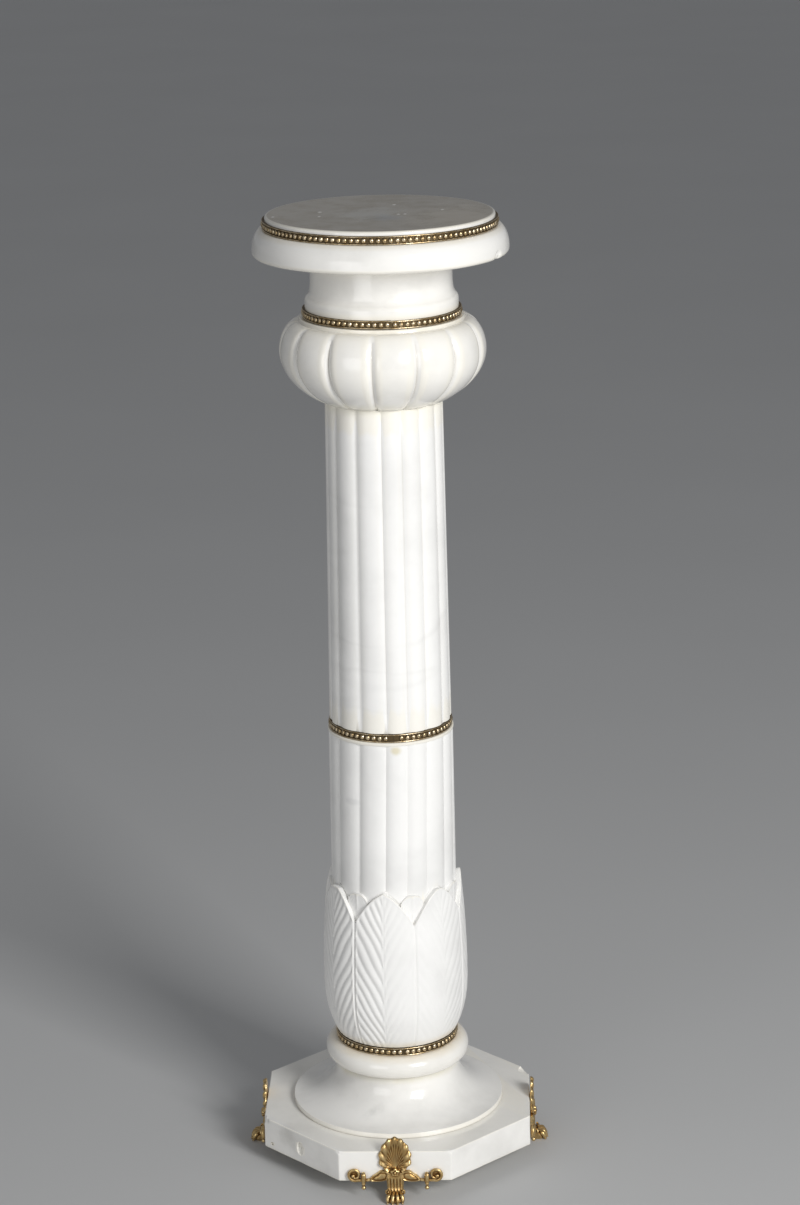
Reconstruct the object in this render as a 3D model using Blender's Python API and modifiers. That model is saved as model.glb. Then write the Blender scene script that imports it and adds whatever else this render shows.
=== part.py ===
"""Marble column: a turned and carved pedestal on an eight-sided plinth with cast feet.

Metres, Z up. The soles of the feet stand on Z = 0, the axis is Z and the front foot faces -Y.
A bearing is an angle round the axis, in degrees from -Y towards +X. Heights are above the sole.
"""

import math

import bmesh
import bpy
from mathutils import Matrix, Vector

# Clearance between two pieces that rest on each other, and the slack of a ring round its shaft
FIT = 0.0003
RING_SLACK = 0.0005

# Height over which a loft steps in or out
STEP_RISE = 0.0004

# Steps of the turned pieces
SLAB_STEPS = 42
NECK_STEPS = 36
BASE_STEPS = 42
RING_STEPS = 32

# Plinth
FOOT_LIFT = 0.0200
PLINTH_ACROSS = 0.3000
PLINTH_THICK = 0.0355
PLINTH_EDGE = 0.0008
PLINTH_TOP = FOOT_LIFT + PLINTH_THICK
FRONT_CHIP = 0.0095
CORNER_CHIP = 0.0110

# Turned base: thin edge, hollow sweep, waist and rounded collar
BASE_BOTTOM = PLINTH_TOP + FIT
BASE_RIM_RADIUS = 0.1192
BASE_RIM_HEIGHT = 0.0057
BASE_RIM_EASE = 0.0007
BASE_RIM_TOP = BASE_BOTTOM + BASE_RIM_HEIGHT
BASE_SWEEP_HEIGHT = 0.0395
BASE_WAIST_RADIUS = 0.0693
BASE_WAIST = BASE_RIM_TOP + BASE_SWEEP_HEIGHT
COLLAR_CENTRE_RADIUS = 0.0680
COLLAR_RISE = 0.0180
COLLAR_BULGE = 0.0130
COLLAR_CENTRE = BASE_WAIST + COLLAR_RISE
BASE_TOP = COLLAR_CENTRE + COLLAR_BULGE

# Bead rings: all four are cut from one strip
STRIP_HEIGHT = 0.0092
STRIP_THICK = 0.0038
STRIP_FLANGE = 0.0010
RING_BASE_RADIUS = 0.0695
RING_SHAFT_RADIUS = 0.0690

# Lower shaft
LOWER_BOTTOM = BASE_TOP + FIT
LOWER_HEIGHT = 0.3697
LOWER_FOOT_RADIUS = 0.0698
LOWER_TOP_RADIUS = 0.0688
SHAFT_JOINT = LOWER_BOTTOM + LOWER_HEIGHT
LIP_HEIGHT = 0.0037
LIP_RADIUS = 0.0695

# Leaf cup round the foot of the lower shaft
LEAVES = 7
LEAF_BEARING = -7.4
LEAF_HEIGHT = 0.1964
LEAF_NOTCH_DROP = 0.0360
LEAF_VALLEY = 0.0014
LEAF_TIP = LOWER_BOTTOM + LEAF_HEIGHT
LEAF_NOTCH = LEAF_TIP - LEAF_NOTCH_DROP
BACK_LEAF_DROP = 0.0030
BACK_LEAF_FALL = 0.0155
BACK_LEAF_HALF = 12.8
BACK_LEAF_PROUD = 0.0022
BACK_LEAF_TOP = LEAF_TIP - BACK_LEAF_DROP
CUP_EASE = 0.0013
CUP_SWELL = 0.0672
CUP_LOW_RADIUS = 0.0680
CUP_RADIUS = 0.0813
CUP_TIP_RADIUS = 0.0748
CUP_LOW = LOWER_BOTTOM + STRIP_HEIGHT + CUP_EASE
CUP_WIDEST = CUP_LOW + CUP_SWELL

# Reeds of both shafts
REEDS = 16
REED_BEARING = -5.4
REED_DEPTH = 0.0024
REED_COLUMNS = 4

# Upper shaft
UPPER_BOTTOM = SHAFT_JOINT + FIT
UPPER_HEIGHT = 0.3684
UPPER_FOOT_RADIUS = 0.0674
UPPER_TOP_RADIUS = 0.0635
UPPER_TOP = UPPER_BOTTOM + UPPER_HEIGHT

# Lobed capital: belly, widest line, shoulder and lip
LOBES = 14
LOBE_BEARING = -4.3
LOBE_DEPTH = 0.0042
LOBE_COLUMNS = 5
CAPITAL_BOTTOM = UPPER_TOP + FIT
CAPITAL_RADIUS = 0.1112
CAPITAL_BELLY = 0.0540
CAPITAL_SHOULDER = 0.0330
CAPITAL_CROWN_RADIUS = 0.0896
CAPITAL_LIP_RADIUS = 0.0883
CAPITAL_LIP_HEIGHT = 0.0037
CAPITAL_WIDEST = CAPITAL_BOTTOM + CAPITAL_BELLY
CAPITAL_CROWN = CAPITAL_WIDEST + CAPITAL_SHOULDER
CAPITAL_TOP = CAPITAL_CROWN + CAPITAL_LIP_HEIGHT
BELLY_WIDTH = 0.1120
BELLY_HEIGHT = 0.0680

# Neck
NECK_BOTTOM = CAPITAL_TOP + FIT
NECK_HEIGHT = 0.0662
NECK_FOOT_RADIUS = 0.0822
NECK_FOOT_HEIGHT = 0.0245
NECK_SWEEP_HEIGHT = 0.0175
NECK_RADIUS = 0.0760
NECK_FOOT_TOP = NECK_BOTTOM + NECK_FOOT_HEIGHT
NECK_TOP = NECK_BOTTOM + NECK_HEIGHT
RING_NECK_RADIUS = NECK_FOOT_RADIUS + FIT + STRIP_THICK

# Top slab: rounded edge that ends in a shoulder, and a low disc on it
SLAB_BOTTOM = NECK_TOP + FIT
SLAB_HEIGHT = 0.0425
SLAB_RADIUS = 0.1368
SLAB_EDGE_ROUND = 0.0042
SLAB_BULGE_RISE = 0.0065
SLAB_BULGE = SLAB_BOTTOM + SLAB_BULGE_RISE
OVOLO_CENTRE_RADIUS = 0.1220
OVOLO_HEIGHT = 0.0240
OVOLO_END = 67.67
DISC_RADIUS = 0.1223
DISC_EDGE_ROUND = 0.0030
SLAB_SHOULDER = SLAB_BULGE + OVOLO_HEIGHT * math.sin(math.radians(OVOLO_END))
COLUMN_TOP = SLAB_BOTTOM + SLAB_HEIGHT
RING_TOP_RADIUS = DISC_RADIUS + FIT + STRIP_THICK

# Feet. The forms of one casting start a little way off the plinth, each at a depth of its own
FOOT_GAP = 0.0003
SHELL_BACK = FOOT_GAP + 0.0006
ARM_BACK = FOOT_GAP + 0.0002
SCROLL_BACK = FOOT_GAP + 0.0004
SHELL_RISE = 0.0327
SHELL_HALF_WIDTH = 0.0185
SHELL_HALF_HEIGHT = 0.0220
SHELL_TAPER = 0.16
SHELL_RIM_DEPTH = 0.0036
SHELL_DOME_DEPTH = 0.0056
SHELL_KNOBS = 7
SHELL_CENTRE = FOOT_LIFT + SHELL_RISE
ROSETTE_RISE = 0.0130
ROSETTE_RADIUS = 0.0048
ROSETTE_DEPTH = 0.0088
ARM_REACH = 0.0455
ARM_HEIGHT = 0.0125
ARM_DEPTH = 0.0056
SCROLL_RADIUS = 0.0086
SCROLL_RISE = 0.0088
SCROLL_THICK = 0.0050
DROP_OFFSET = 0.0350
DROP_RADIUS = 0.0021
DROP_LENGTH = 0.0133
DROP_TOP = FOOT_LIFT + 0.36 * ARM_HEIGHT
LEG_HALF_WIDTH = 0.0108
LEG_REACH = 0.0215
LEDGE_HALF_WIDTH = 0.0070
LEDGE_REACH = 0.0140
LEDGE_HEIGHT = 0.0097

# Half-width and reach as shares of the leg's, and height as a share of the lift, from the sole up
LEG_FORM = (
    (0.93, 0.90, 0.0),
    (1.0, 1.0, 0.15),
    (0.98, 0.92, 0.40),
    (0.88, 0.50, 0.60),
    (0.80, 0.24, 0.72),
    (0.82, 0.22, 1.60),
)

# Distance out, lower and upper edge and depth as shares of the arm's reach, height and depth
ARM_FORM = (
    (0.04, 0.32, 1.0, 1.0),
    (0.36, 0.10, 0.76, 0.93),
    (0.64, 0.05, 0.50, 0.71),
    (0.89, 0.24, 0.72, 0.64),
)

# Finishes: colour, roughness, metallic
MARBLE = ((0.83, 0.82, 0.79, 1.0), 0.22, 0.0)
GILT = ((0.46, 0.31, 0.11, 1.0), 0.38, 1.0)


def clear_scene():
    for obj in list(bpy.data.objects):
        bpy.data.objects.remove(obj)


def new_collection(name):
    collection = bpy.data.collections.new(name)
    bpy.context.scene.collection.children.link(collection)
    return collection


def finish(name, settings):
    """A Principled material of this name."""
    color, roughness, metallic = settings
    material = bpy.data.materials.new(name)
    material.use_nodes = True
    shader = material.node_tree.nodes["Principled BSDF"]
    shader.inputs["Base Color"].default_value = color
    shader.inputs["Roughness"].default_value = roughness
    shader.inputs["Metallic"].default_value = metallic
    return material


def add_object(name, bm, collection, settings=None):
    """An object with this mesh. Only a named part gets a finish of its own."""
    mesh = bpy.data.meshes.new(name)
    bm.to_mesh(mesh)
    bm.free()
    mesh.shade_smooth()
    mesh.set_sharp_from_angle(angle=math.radians(38))
    obj = bpy.data.objects.new(name, mesh)
    collection.objects.link(obj)
    if settings:
        mesh.materials.append(finish(name, settings))
    return obj


def polar(radius, bearing, height):
    angle = math.radians(bearing)
    return Vector((radius * math.sin(angle), -radius * math.cos(angle), height))


def arc(centre, radii, start, end, steps):
    """(radius, height) points along an ellipse, angles in degrees from outwards towards up."""
    points = []
    for k in range(steps + 1):
        angle = math.radians(start + (end - start) * k / steps)
        points.append((centre[0] + radii[0] * math.cos(angle), centre[1] + radii[1] * math.sin(angle)))
    return points


def turned(name, profile, steps, collection, settings, closed=False):
    """A profile of (radius, height) points, top first, spun round the axis by a Screw."""
    bm = bmesh.new()
    corners = [bm.verts.new((radius, 0.0, height)) for radius, height in profile]
    for first, second in zip(corners, corners[1:]):
        bm.edges.new((first, second))
    if closed:
        bm.edges.new((corners[-1], corners[0]))
    obj = add_object(name, bm, collection, settings)
    screw = obj.modifiers.new("turn", "SCREW")
    screw.axis = "Z"
    screw.steps = steps
    screw.render_steps = steps
    screw.use_merge_vertices = True
    screw.merge_threshold = 0.00001
    screw.use_smooth_shade = True
    return obj


def lofted(name, levels, collection, settings=None):
    """A closed skin over rings of equal length, lowest first, each ring running anticlockwise."""
    bm = bmesh.new()
    rings = [[bm.verts.new(point) for point in level] for level in levels]
    count = len(rings[0])
    for low, high in zip(rings, rings[1:]):
        for k in range(count):
            after = (k + 1) % count
            bm.faces.new((low[k], low[after], high[after], high[k]))
    bm.faces.new(list(reversed(rings[0])))
    bm.faces.new(rings[-1])
    return add_object(name, bm, collection, settings)


def reed_groove(index):
    """Bearing of a groove. The reeds were spaced by eye, so the grooves wander a little."""
    even = 360.0 / REEDS * index
    swing = math.radians(even - 5.0)
    wander = 2.6 * math.cos(2.0 * swing - 0.717) + 2.55 * math.cos(4.0 * swing + 0.623)
    return even + REED_BEARING + wander


def reed_hollow(bearing):
    """0 on the crown of a reed, 1 in the groove beside it."""
    for index in range(-2, REEDS + 2):
        start = reed_groove(index)
        end = reed_groove(index + 1)
        if start <= bearing < end:
            across = abs(2.0 * (bearing - start) / (end - start) - 1.0)
            return across**2.4
    return 0.0


def shaft_bearings(keys=()):
    """Bearings of the columns of a reeded shaft, moved to the keys where those lie near."""
    bearings = []
    for index in range(REEDS):
        start = reed_groove(index)
        end = reed_groove(index + 1)
        for step in range(REED_COLUMNS):
            bearings.append((start + (end - start) * step / REED_COLUMNS, step == 0))
    for key in keys:
        free = [k for k, (_, groove) in enumerate(bearings) if not groove]
        nearest = min(free, key=lambda k: abs((bearings[k][0] - key + 180.0) % 360.0 - 180.0))
        turns = round((bearings[nearest][0] - key) / 360.0)
        bearings[nearest] = (key + 360.0 * turns, True)
    return sorted(bearing for bearing, _ in bearings)


def ring_of(bearings, radius, height):
    """One level of a loft. The radius and the height are numbers or functions of the bearing."""
    points = []
    for bearing in bearings:
        reach = radius(bearing) if callable(radius) else radius
        level = height(bearing) if callable(height) else height
        points.append(polar(reach, bearing, level))
    return points


def leaf_offset(bearing):
    """Angle from the middle of the nearest front leaf."""
    spacing = 360.0 / LEAVES
    return abs((bearing - LEAF_BEARING + spacing / 2.0) % spacing - spacing / 2.0)


def front_leaf_top(bearing):
    share = leaf_offset(bearing) / (180.0 / LEAVES)
    return LEAF_TIP - (LEAF_TIP - LEAF_NOTCH) * share


def back_leaf_top(bearing):
    """Top of the small round leaves that show between the front ones, or of the front ones."""
    beside = 180.0 / LEAVES - leaf_offset(bearing)
    arch = BACK_LEAF_TOP - BACK_LEAF_FALL * (beside / BACK_LEAF_HALF) ** 2
    return max(arch, front_leaf_top(bearing) + STEP_RISE)


def cup_radius(height):
    """Radius of the leaf cup's surface: an S from the ring up to the leaf tips."""
    if height > CUP_WIDEST:
        share = (height - CUP_WIDEST) / (LEAF_TIP - CUP_WIDEST)
        return CUP_RADIUS - (CUP_RADIUS - CUP_TIP_RADIUS) * share**1.9
    share = (CUP_WIDEST - height) / (CUP_WIDEST - CUP_LOW)
    return CUP_RADIUS - (CUP_RADIUS - CUP_LOW_RADIUS) * share**2.6


def leaf_skin(height):
    """Radius of the carved leaves at this height, a little lower at the edge of each leaf."""

    def radius(bearing):
        share = leaf_offset(bearing) / (180.0 / LEAVES)
        return cup_radius(height) - LEAF_VALLEY * share**3

    return radius


def build_plinth(collection, cutters):
    bm = bmesh.new()
    half = PLINTH_ACROSS / 2.0
    bmesh.ops.create_cone(
        bm,
        cap_ends=True,
        segments=8,
        radius1=half / math.cos(math.pi / 8.0),
        radius2=half / math.cos(math.pi / 8.0),
        depth=PLINTH_THICK,
    )
    bmesh.ops.rotate(bm, verts=bm.verts, matrix=Matrix.Rotation(math.pi / 8.0, 3, "Z"))
    bmesh.ops.translate(bm, verts=bm.verts, vec=(0.0, 0.0, FOOT_LIFT + PLINTH_THICK / 2.0))
    plinth = add_object("plinth", bm, collection, MARBLE)
    bevel = plinth.modifiers.new("worn edges", "BEVEL")
    bevel.width = PLINTH_EDGE
    bevel.segments = 1
    gouge = polar(0.5115 * PLINTH_ACROSS, -45.5, FOOT_LIFT + 0.58 * PLINTH_THICK)
    chip(plinth, "front chip", gouge, Vector((0.63, 0.79, 1.0)) * FRONT_CHIP, cutters)
    corner = polar(0.5467 * PLINTH_ACROSS, 157.5, PLINTH_TOP)
    chip(plinth, "corner chip", corner, Vector((1.0, 1.0, 0.55)) * CORNER_CHIP, cutters)


def chip(obj, name, centre, size, cutters):
    """Breaks a shallow flake out of a piece with a rough pebble."""
    bm = bmesh.new()
    bmesh.ops.create_icosphere(bm, subdivisions=1, radius=1.0)
    bmesh.ops.scale(bm, verts=bm.verts, vec=size)
    bmesh.ops.translate(bm, verts=bm.verts, vec=centre)
    pebble = add_object(name, bm, cutters)
    hide(pebble)
    cut = obj.modifiers.new(name, "BOOLEAN")
    cut.operation = "DIFFERENCE"
    cut.solver = "EXACT"
    cut.object = pebble


def hide(obj):
    obj.hide_render = True
    obj.display_type = "WIRE"


def build_base(collection):
    rim = BASE_RIM_RADIUS - BASE_RIM_EASE
    sweep = (rim - BASE_WAIST_RADIUS, BASE_SWEEP_HEIGHT)
    profile = [(0.0, BASE_TOP)]
    profile += arc((COLLAR_CENTRE_RADIUS, COLLAR_CENTRE), (COLLAR_BULGE, COLLAR_BULGE), 90, -84, 5)
    profile += arc((rim, BASE_WAIST), sweep, 180, 270, 5)
    profile += [(BASE_RIM_RADIUS, BASE_RIM_TOP - BASE_RIM_EASE), (BASE_RIM_RADIUS, BASE_BOTTOM)]
    profile += [(0.0, BASE_BOTTOM)]
    turned("turned_base", profile, BASE_STEPS, collection, MARBLE)


def build_lower_shaft(collection):
    keys = [LEAF_BEARING + 180.0 / LEAVES * k for k in range(2 * LEAVES)]
    bearings = shaft_bearings(keys)
    tenon = RING_BASE_RADIUS - STRIP_THICK - RING_SLACK

    def reeded(height):
        share = (height - CUP_LOW) / (SHAFT_JOINT - CUP_LOW)
        crown = LOWER_FOOT_RADIUS - (LOWER_FOOT_RADIUS - LOWER_TOP_RADIUS) * share
        return lambda bearing: crown - REED_DEPTH * reed_hollow((bearing + 60.0) % 360.0 - 60.0)

    def edge_radius(bearing):
        return leaf_skin(front_leaf_top(bearing))(bearing)

    def behind_radius(bearing):
        hollow = reeded(LEAF_TIP)(bearing)
        if back_leaf_top(bearing) > front_leaf_top(bearing) + 2.0 * STEP_RISE:
            return LOWER_FOOT_RADIUS + BACK_LEAF_PROUD
        return hollow

    levels = [
        ring_of(bearings, tenon, LOWER_BOTTOM),
        ring_of(bearings, tenon, CUP_LOW - STEP_RISE),
        ring_of(bearings, CUP_LOW_RADIUS, CUP_LOW),
    ]
    for share in (0.07, 0.17, 0.32, 0.54, 0.935):
        height = CUP_LOW + (LEAF_NOTCH - CUP_LOW) * share
        levels.append(ring_of(bearings, leaf_skin(height), height))
    levels.append(ring_of(bearings, edge_radius, front_leaf_top))
    levels.append(ring_of(bearings, behind_radius, lambda b: front_leaf_top(b) + STEP_RISE))
    levels.append(ring_of(bearings, behind_radius, lambda b: back_leaf_top(b) + STEP_RISE))
    levels.append(ring_of(bearings, reeded(LEAF_TIP), lambda b: back_leaf_top(b) + 2.0 * STEP_RISE))
    levels.append(ring_of(bearings, reeded(SHAFT_JOINT), SHAFT_JOINT - LIP_HEIGHT))
    levels.append(ring_of(bearings, LIP_RADIUS, SHAFT_JOINT - LIP_HEIGHT + STEP_RISE))
    levels.append(ring_of(bearings, LIP_RADIUS, SHAFT_JOINT))
    lofted("lower_shaft", levels, collection, MARBLE)


def build_upper_shaft(collection):
    bearings = shaft_bearings()
    tenon = RING_SHAFT_RADIUS - STRIP_THICK - RING_SLACK
    ring_top = UPPER_BOTTOM + STRIP_HEIGHT + 2.0 * FIT

    def reeded(height):
        share = (height - UPPER_BOTTOM) / (UPPER_TOP - UPPER_BOTTOM)
        crown = UPPER_FOOT_RADIUS - (UPPER_FOOT_RADIUS - UPPER_TOP_RADIUS) * share
        return lambda bearing: crown - REED_DEPTH * reed_hollow((bearing + 60.0) % 360.0 - 60.0)

    levels = [
        ring_of(bearings, tenon, UPPER_BOTTOM),
        ring_of(bearings, tenon, ring_top - STEP_RISE),
        ring_of(bearings, reeded(ring_top), ring_top),
        ring_of(bearings, reeded((ring_top + UPPER_TOP) / 2.0), (ring_top + UPPER_TOP) / 2.0),
        ring_of(bearings, reeded(UPPER_TOP), UPPER_TOP),
    ]
    lofted("upper_shaft", levels, collection, MARBLE)


def build_capital(collection):
    spacing = 360.0 / LOBES
    bearings = [LOBE_BEARING + spacing * k / LOBE_COLUMNS for k in range(LOBES * LOBE_COLUMNS)]

    def lobed(crown, depth):
        def radius(bearing):
            across = abs((bearing - LOBE_BEARING) / spacing % 1.0 * 2.0 - 1.0)
            return crown - depth * across**2.6

        return radius

    crown_arc = (CAPITAL_RADIUS - CAPITAL_CROWN_RADIUS, CAPITAL_SHOULDER)
    profile = []
    for share in (1.0, 0.88, 0.66, 0.36):
        fall = CAPITAL_BELLY * share
        crown = CAPITAL_RADIUS - BELLY_WIDTH * (1.0 - math.sqrt(1.0 - (fall / BELLY_HEIGHT) ** 2))
        profile.append((crown, CAPITAL_WIDEST - fall))
    profile += arc((CAPITAL_CROWN_RADIUS, CAPITAL_WIDEST), crown_arc, 0, 84, 3)
    levels = []
    for crown, height in profile:
        runs_out = height > CAPITAL_CROWN - 0.05 * CAPITAL_SHOULDER
        levels.append(ring_of(bearings, lobed(crown, LOBE_DEPTH * (0.5 if runs_out else 1.0)), height))
    levels.append(ring_of(bearings, CAPITAL_LIP_RADIUS, CAPITAL_CROWN))
    levels.append(ring_of(bearings, CAPITAL_LIP_RADIUS, CAPITAL_TOP))
    lofted("lobed_capital", levels, collection, MARBLE)


def build_neck(collection):
    sweep = (NECK_FOOT_RADIUS - NECK_RADIUS, NECK_SWEEP_HEIGHT)
    profile = [(0.0, NECK_TOP), (NECK_RADIUS, NECK_TOP)]
    profile += arc((NECK_FOOT_RADIUS, NECK_FOOT_TOP + NECK_SWEEP_HEIGHT), sweep, 180, 270, 4)
    profile += [(NECK_FOOT_RADIUS, NECK_BOTTOM), (0.0, NECK_BOTTOM)]
    turned("neck", profile, NECK_STEPS, collection, MARBLE)


def build_slab(collection):
    edge = (SLAB_EDGE_ROUND, SLAB_EDGE_ROUND)
    ovolo = (SLAB_RADIUS - OVOLO_CENTRE_RADIUS, OVOLO_HEIGHT)
    profile = [(0.0, COLUMN_TOP)]
    disc_edge = (DISC_RADIUS - DISC_EDGE_ROUND, COLUMN_TOP - DISC_EDGE_ROUND)
    profile += arc(disc_edge, (DISC_EDGE_ROUND, DISC_EDGE_ROUND), 90, 0, 1)
    profile += [(DISC_RADIUS, SLAB_SHOULDER)]
    profile += arc((OVOLO_CENTRE_RADIUS, SLAB_BULGE), ovolo, OVOLO_END, 0, 3)
    profile += arc((SLAB_RADIUS - SLAB_EDGE_ROUND, SLAB_BOTTOM + SLAB_EDGE_ROUND), edge, -30, -90, 1)
    profile += [(0.0, SLAB_BOTTOM)]
    turned("top_slab", profile, SLAB_STEPS, collection, MARBLE)


def build_ring(name, radius, bottom, steps, collection):
    """A beaded strip bent into a ring: flanges at the top and the foot, beads between."""
    inner = radius - STRIP_THICK
    flange = radius - STRIP_FLANGE
    top = bottom + STRIP_HEIGHT
    profile = [(inner, top), (flange, top), (radius, bottom + STRIP_HEIGHT / 2.0), (flange, bottom)]
    profile += [(inner, bottom)]
    turned(name, profile, steps, collection, GILT, closed=True)


def build_ledge(cutters):
    """The bracket on the back of the casting, which the plinth rests on."""
    bm = bmesh.new()
    bmesh.ops.create_cube(bm, size=1.0)
    behind = 0.12 * LEG_REACH
    size = (2.0 * LEDGE_HALF_WIDTH, LEDGE_REACH + behind, LEDGE_HEIGHT)
    bmesh.ops.scale(bm, verts=bm.verts, vec=size)
    middle = (0.0, (LEDGE_REACH - behind) / 2.0, FOOT_LIFT - FIT - LEDGE_HEIGHT / 2.0)
    bmesh.ops.translate(bm, verts=bm.verts, vec=middle)
    return add_object("ledge", bm, cutters)


def disc(name, centre, radius, near, far, segments, cutters, tip=1.0):
    """A round boss that stands out from the face of the plinth between two depths."""
    bm = bmesh.new()
    bmesh.ops.create_cone(
        bm, cap_ends=True, segments=segments, radius1=radius, radius2=radius * tip, depth=far - near
    )
    bmesh.ops.rotate(bm, verts=bm.verts, matrix=Matrix.Rotation(math.pi / 2.0, 3, "X"))
    bmesh.ops.translate(bm, verts=bm.verts, vec=(centre[0], -(near + far) / 2.0, centre[1]))
    return add_object(name, bm, cutters)


def build_shell(cutters):
    """The scallop: a domed fan whose rim runs in small knobs, its hub low in the middle."""
    count = 2 * SHELL_KNOBS
    bm = bmesh.new()
    back, rim, dome = [], [], []
    dome_centre = SHELL_CENTRE - 0.19 * SHELL_HALF_HEIGHT
    for k in range(count):
        angle = 2.0 * math.pi * (k + 0.5) / count
        knob = 1.0 + 0.045 * (1 if k % 2 else -1)
        x = SHELL_HALF_WIDTH * math.sin(angle) * (1.0 - SHELL_TAPER * math.cos(angle))
        z = SHELL_HALF_HEIGHT * math.cos(angle)
        back.append(bm.verts.new((x * knob, -SHELL_BACK, SHELL_CENTRE + z * knob)))
        rim.append(bm.verts.new((x * knob, -SHELL_RIM_DEPTH, SHELL_CENTRE + z * knob)))
        dome.append(bm.verts.new((x * 0.5, -SHELL_DOME_DEPTH, dome_centre + z * 0.5)))
    hub = bm.verts.new((0.0, -1.08 * SHELL_DOME_DEPTH, SHELL_CENTRE - 0.33 * SHELL_HALF_HEIGHT))
    for k in range(count):
        after = (k + 1) % count
        bm.faces.new((rim[k], rim[after], back[after], back[k]))
        bm.faces.new((dome[k], dome[after], rim[after], rim[k]))
        bm.faces.new((hub, dome[after], dome[k]))
    bm.faces.new(back)
    bmesh.ops.recalc_face_normals(bm, faces=bm.faces)
    return add_object("shell", bm, cutters)


def section(half_width, near, far, height, corner=0.35):
    """A level of the leg between two depths out from the plinth: flat at the back, rounded in front."""
    middle = (near + far) / 2.0
    half_depth = (far - near) / 2.0
    outline = ((corner, -1), (1, -corner), (1, 1), (-1, 1), (-1, -corner), (-corner, -1))
    return [Vector((x * half_width, -middle + y * half_depth, height)) for x, y in outline]


def build_leg(cutters):
    levels = []
    for width, reach, rise in LEG_FORM:
        levels.append(section(LEG_HALF_WIDTH * width, FOOT_GAP, LEG_REACH * reach, FOOT_LIFT * rise))
    return lofted("leg", levels, cutters)


def build_arm(side, cutters):
    """A leaf that sweeps from the leg out to its scroll, lowest half way along."""
    levels = []
    for away, low, high, out in ARM_FORM:
        x = side * ARM_REACH * away
        low, high, depth = ARM_HEIGHT * low, ARM_HEIGHT * high, ARM_DEPTH * out
        middle = (depth * 1.1, (low + high) / 2.0)
        outline = ((ARM_BACK, low), (depth, low), middle, (depth, high), (ARM_BACK, high))
        levels.append([Vector((x, -y, FOOT_LIFT + z)) for y, z in outline])
    arm = lofted("arm", levels, cutters)
    bm = bmesh.new()
    bm.from_mesh(arm.data)
    bmesh.ops.recalc_face_normals(bm, faces=bm.faces)
    bm.to_mesh(arm.data)
    bm.free()
    return arm


def build_drop(side, cutters):
    bm = bmesh.new()
    tip = 0.74 * DROP_RADIUS
    bmesh.ops.create_cone(
        bm, cap_ends=True, segments=5, radius1=DROP_RADIUS, radius2=tip, depth=DROP_LENGTH
    )
    middle = (side * DROP_OFFSET, -1.42 * DROP_RADIUS, DROP_TOP - DROP_LENGTH / 2.0)
    bmesh.ops.translate(bm, verts=bm.verts, vec=middle)
    return add_object("drop", bm, cutters)


def build_feet(collection, cutters):
    """One casting, joined from its forms and then copied to every second side of the plinth."""
    casting = build_leg(cutters)
    rosette = (0.0, FOOT_LIFT + ROSETTE_RISE)
    joined = [
        build_ledge(cutters),
        build_shell(cutters),
        disc("rosette", rosette, ROSETTE_RADIUS, SHELL_RIM_DEPTH, ROSETTE_DEPTH, 6, cutters, tip=0.5),
    ]
    for side in (-1, 1):
        joined.append(build_arm(side, cutters))
        centre = (side * ARM_REACH, FOOT_LIFT + SCROLL_RISE)
        joined.append(disc("scroll", centre, SCROLL_RADIUS, SCROLL_BACK, SCROLL_THICK, 10, cutters))
        joined.append(build_drop(side, cutters))
    for part in joined:
        union = casting.modifiers.new(part.name, "BOOLEAN")
        union.operation = "UNION"
        union.solver = "EXACT"
        union.use_self = True
        union.object = part
        hide(part)
    hide(casting)
    bpy.context.view_layer.update()
    graph = bpy.context.evaluated_depsgraph_get()
    for name, bearing in (("foot_front", 0), ("foot_right", 90), ("foot_back", 180), ("foot_left", 270)):
        bm = bmesh.new()
        bm.from_object(casting, graph)
        bmesh.ops.translate(bm, verts=bm.verts, vec=(0.0, -PLINTH_ACROSS / 2.0, 0.0))
        bmesh.ops.rotate(bm, verts=bm.verts, matrix=Matrix.Rotation(math.radians(bearing), 3, "Z"))
        add_object(name, bm, collection, GILT)


def main():
    clear_scene()
    column = new_collection("marble column")
    cutters = new_collection("cutters")
    build_plinth(column, cutters)
    build_base(column)
    build_lower_shaft(column)
    build_upper_shaft(column)
    build_capital(column)
    build_neck(column)
    build_slab(column)
    build_ring("bead_ring_base", RING_BASE_RADIUS, BASE_TOP + FIT, RING_STEPS, column)
    build_ring("bead_ring_shaft", RING_SHAFT_RADIUS, SHAFT_JOINT + FIT, RING_STEPS, column)
    build_ring("bead_ring_neck", RING_NECK_RADIUS, CAPITAL_TOP + FIT, NECK_STEPS, column)
    build_ring("bead_ring_top", RING_TOP_RADIUS, SLAB_SHOULDER + FIT, SLAB_STEPS, column)
    build_feet(column, cutters)


main()
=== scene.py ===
"""Marble column with gilt bead rings and paw feet: finished pieces, finishes, light and camera.

Metres, Z up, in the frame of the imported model: the soles stand on Z = 0 and the axis is Z. A bearing
is an angle round the axis in degrees, from the front foot at -Y towards +X. A share runs from 0 to 1.
Colours are sRGB hex codes, and columns are counted once round a form.
"""

import logging
import math
from collections.abc import Callable, Mapping, Sequence
from dataclasses import dataclass
from enum import Enum

import bmesh
import bpy
from bmesh.types import BMesh
from bpy.types import Material, Node, NodeSocket, NodeTree, Object
from mathutils import Matrix, Vector, noise
from mathutils.bvhtree import BVHTree


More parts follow.
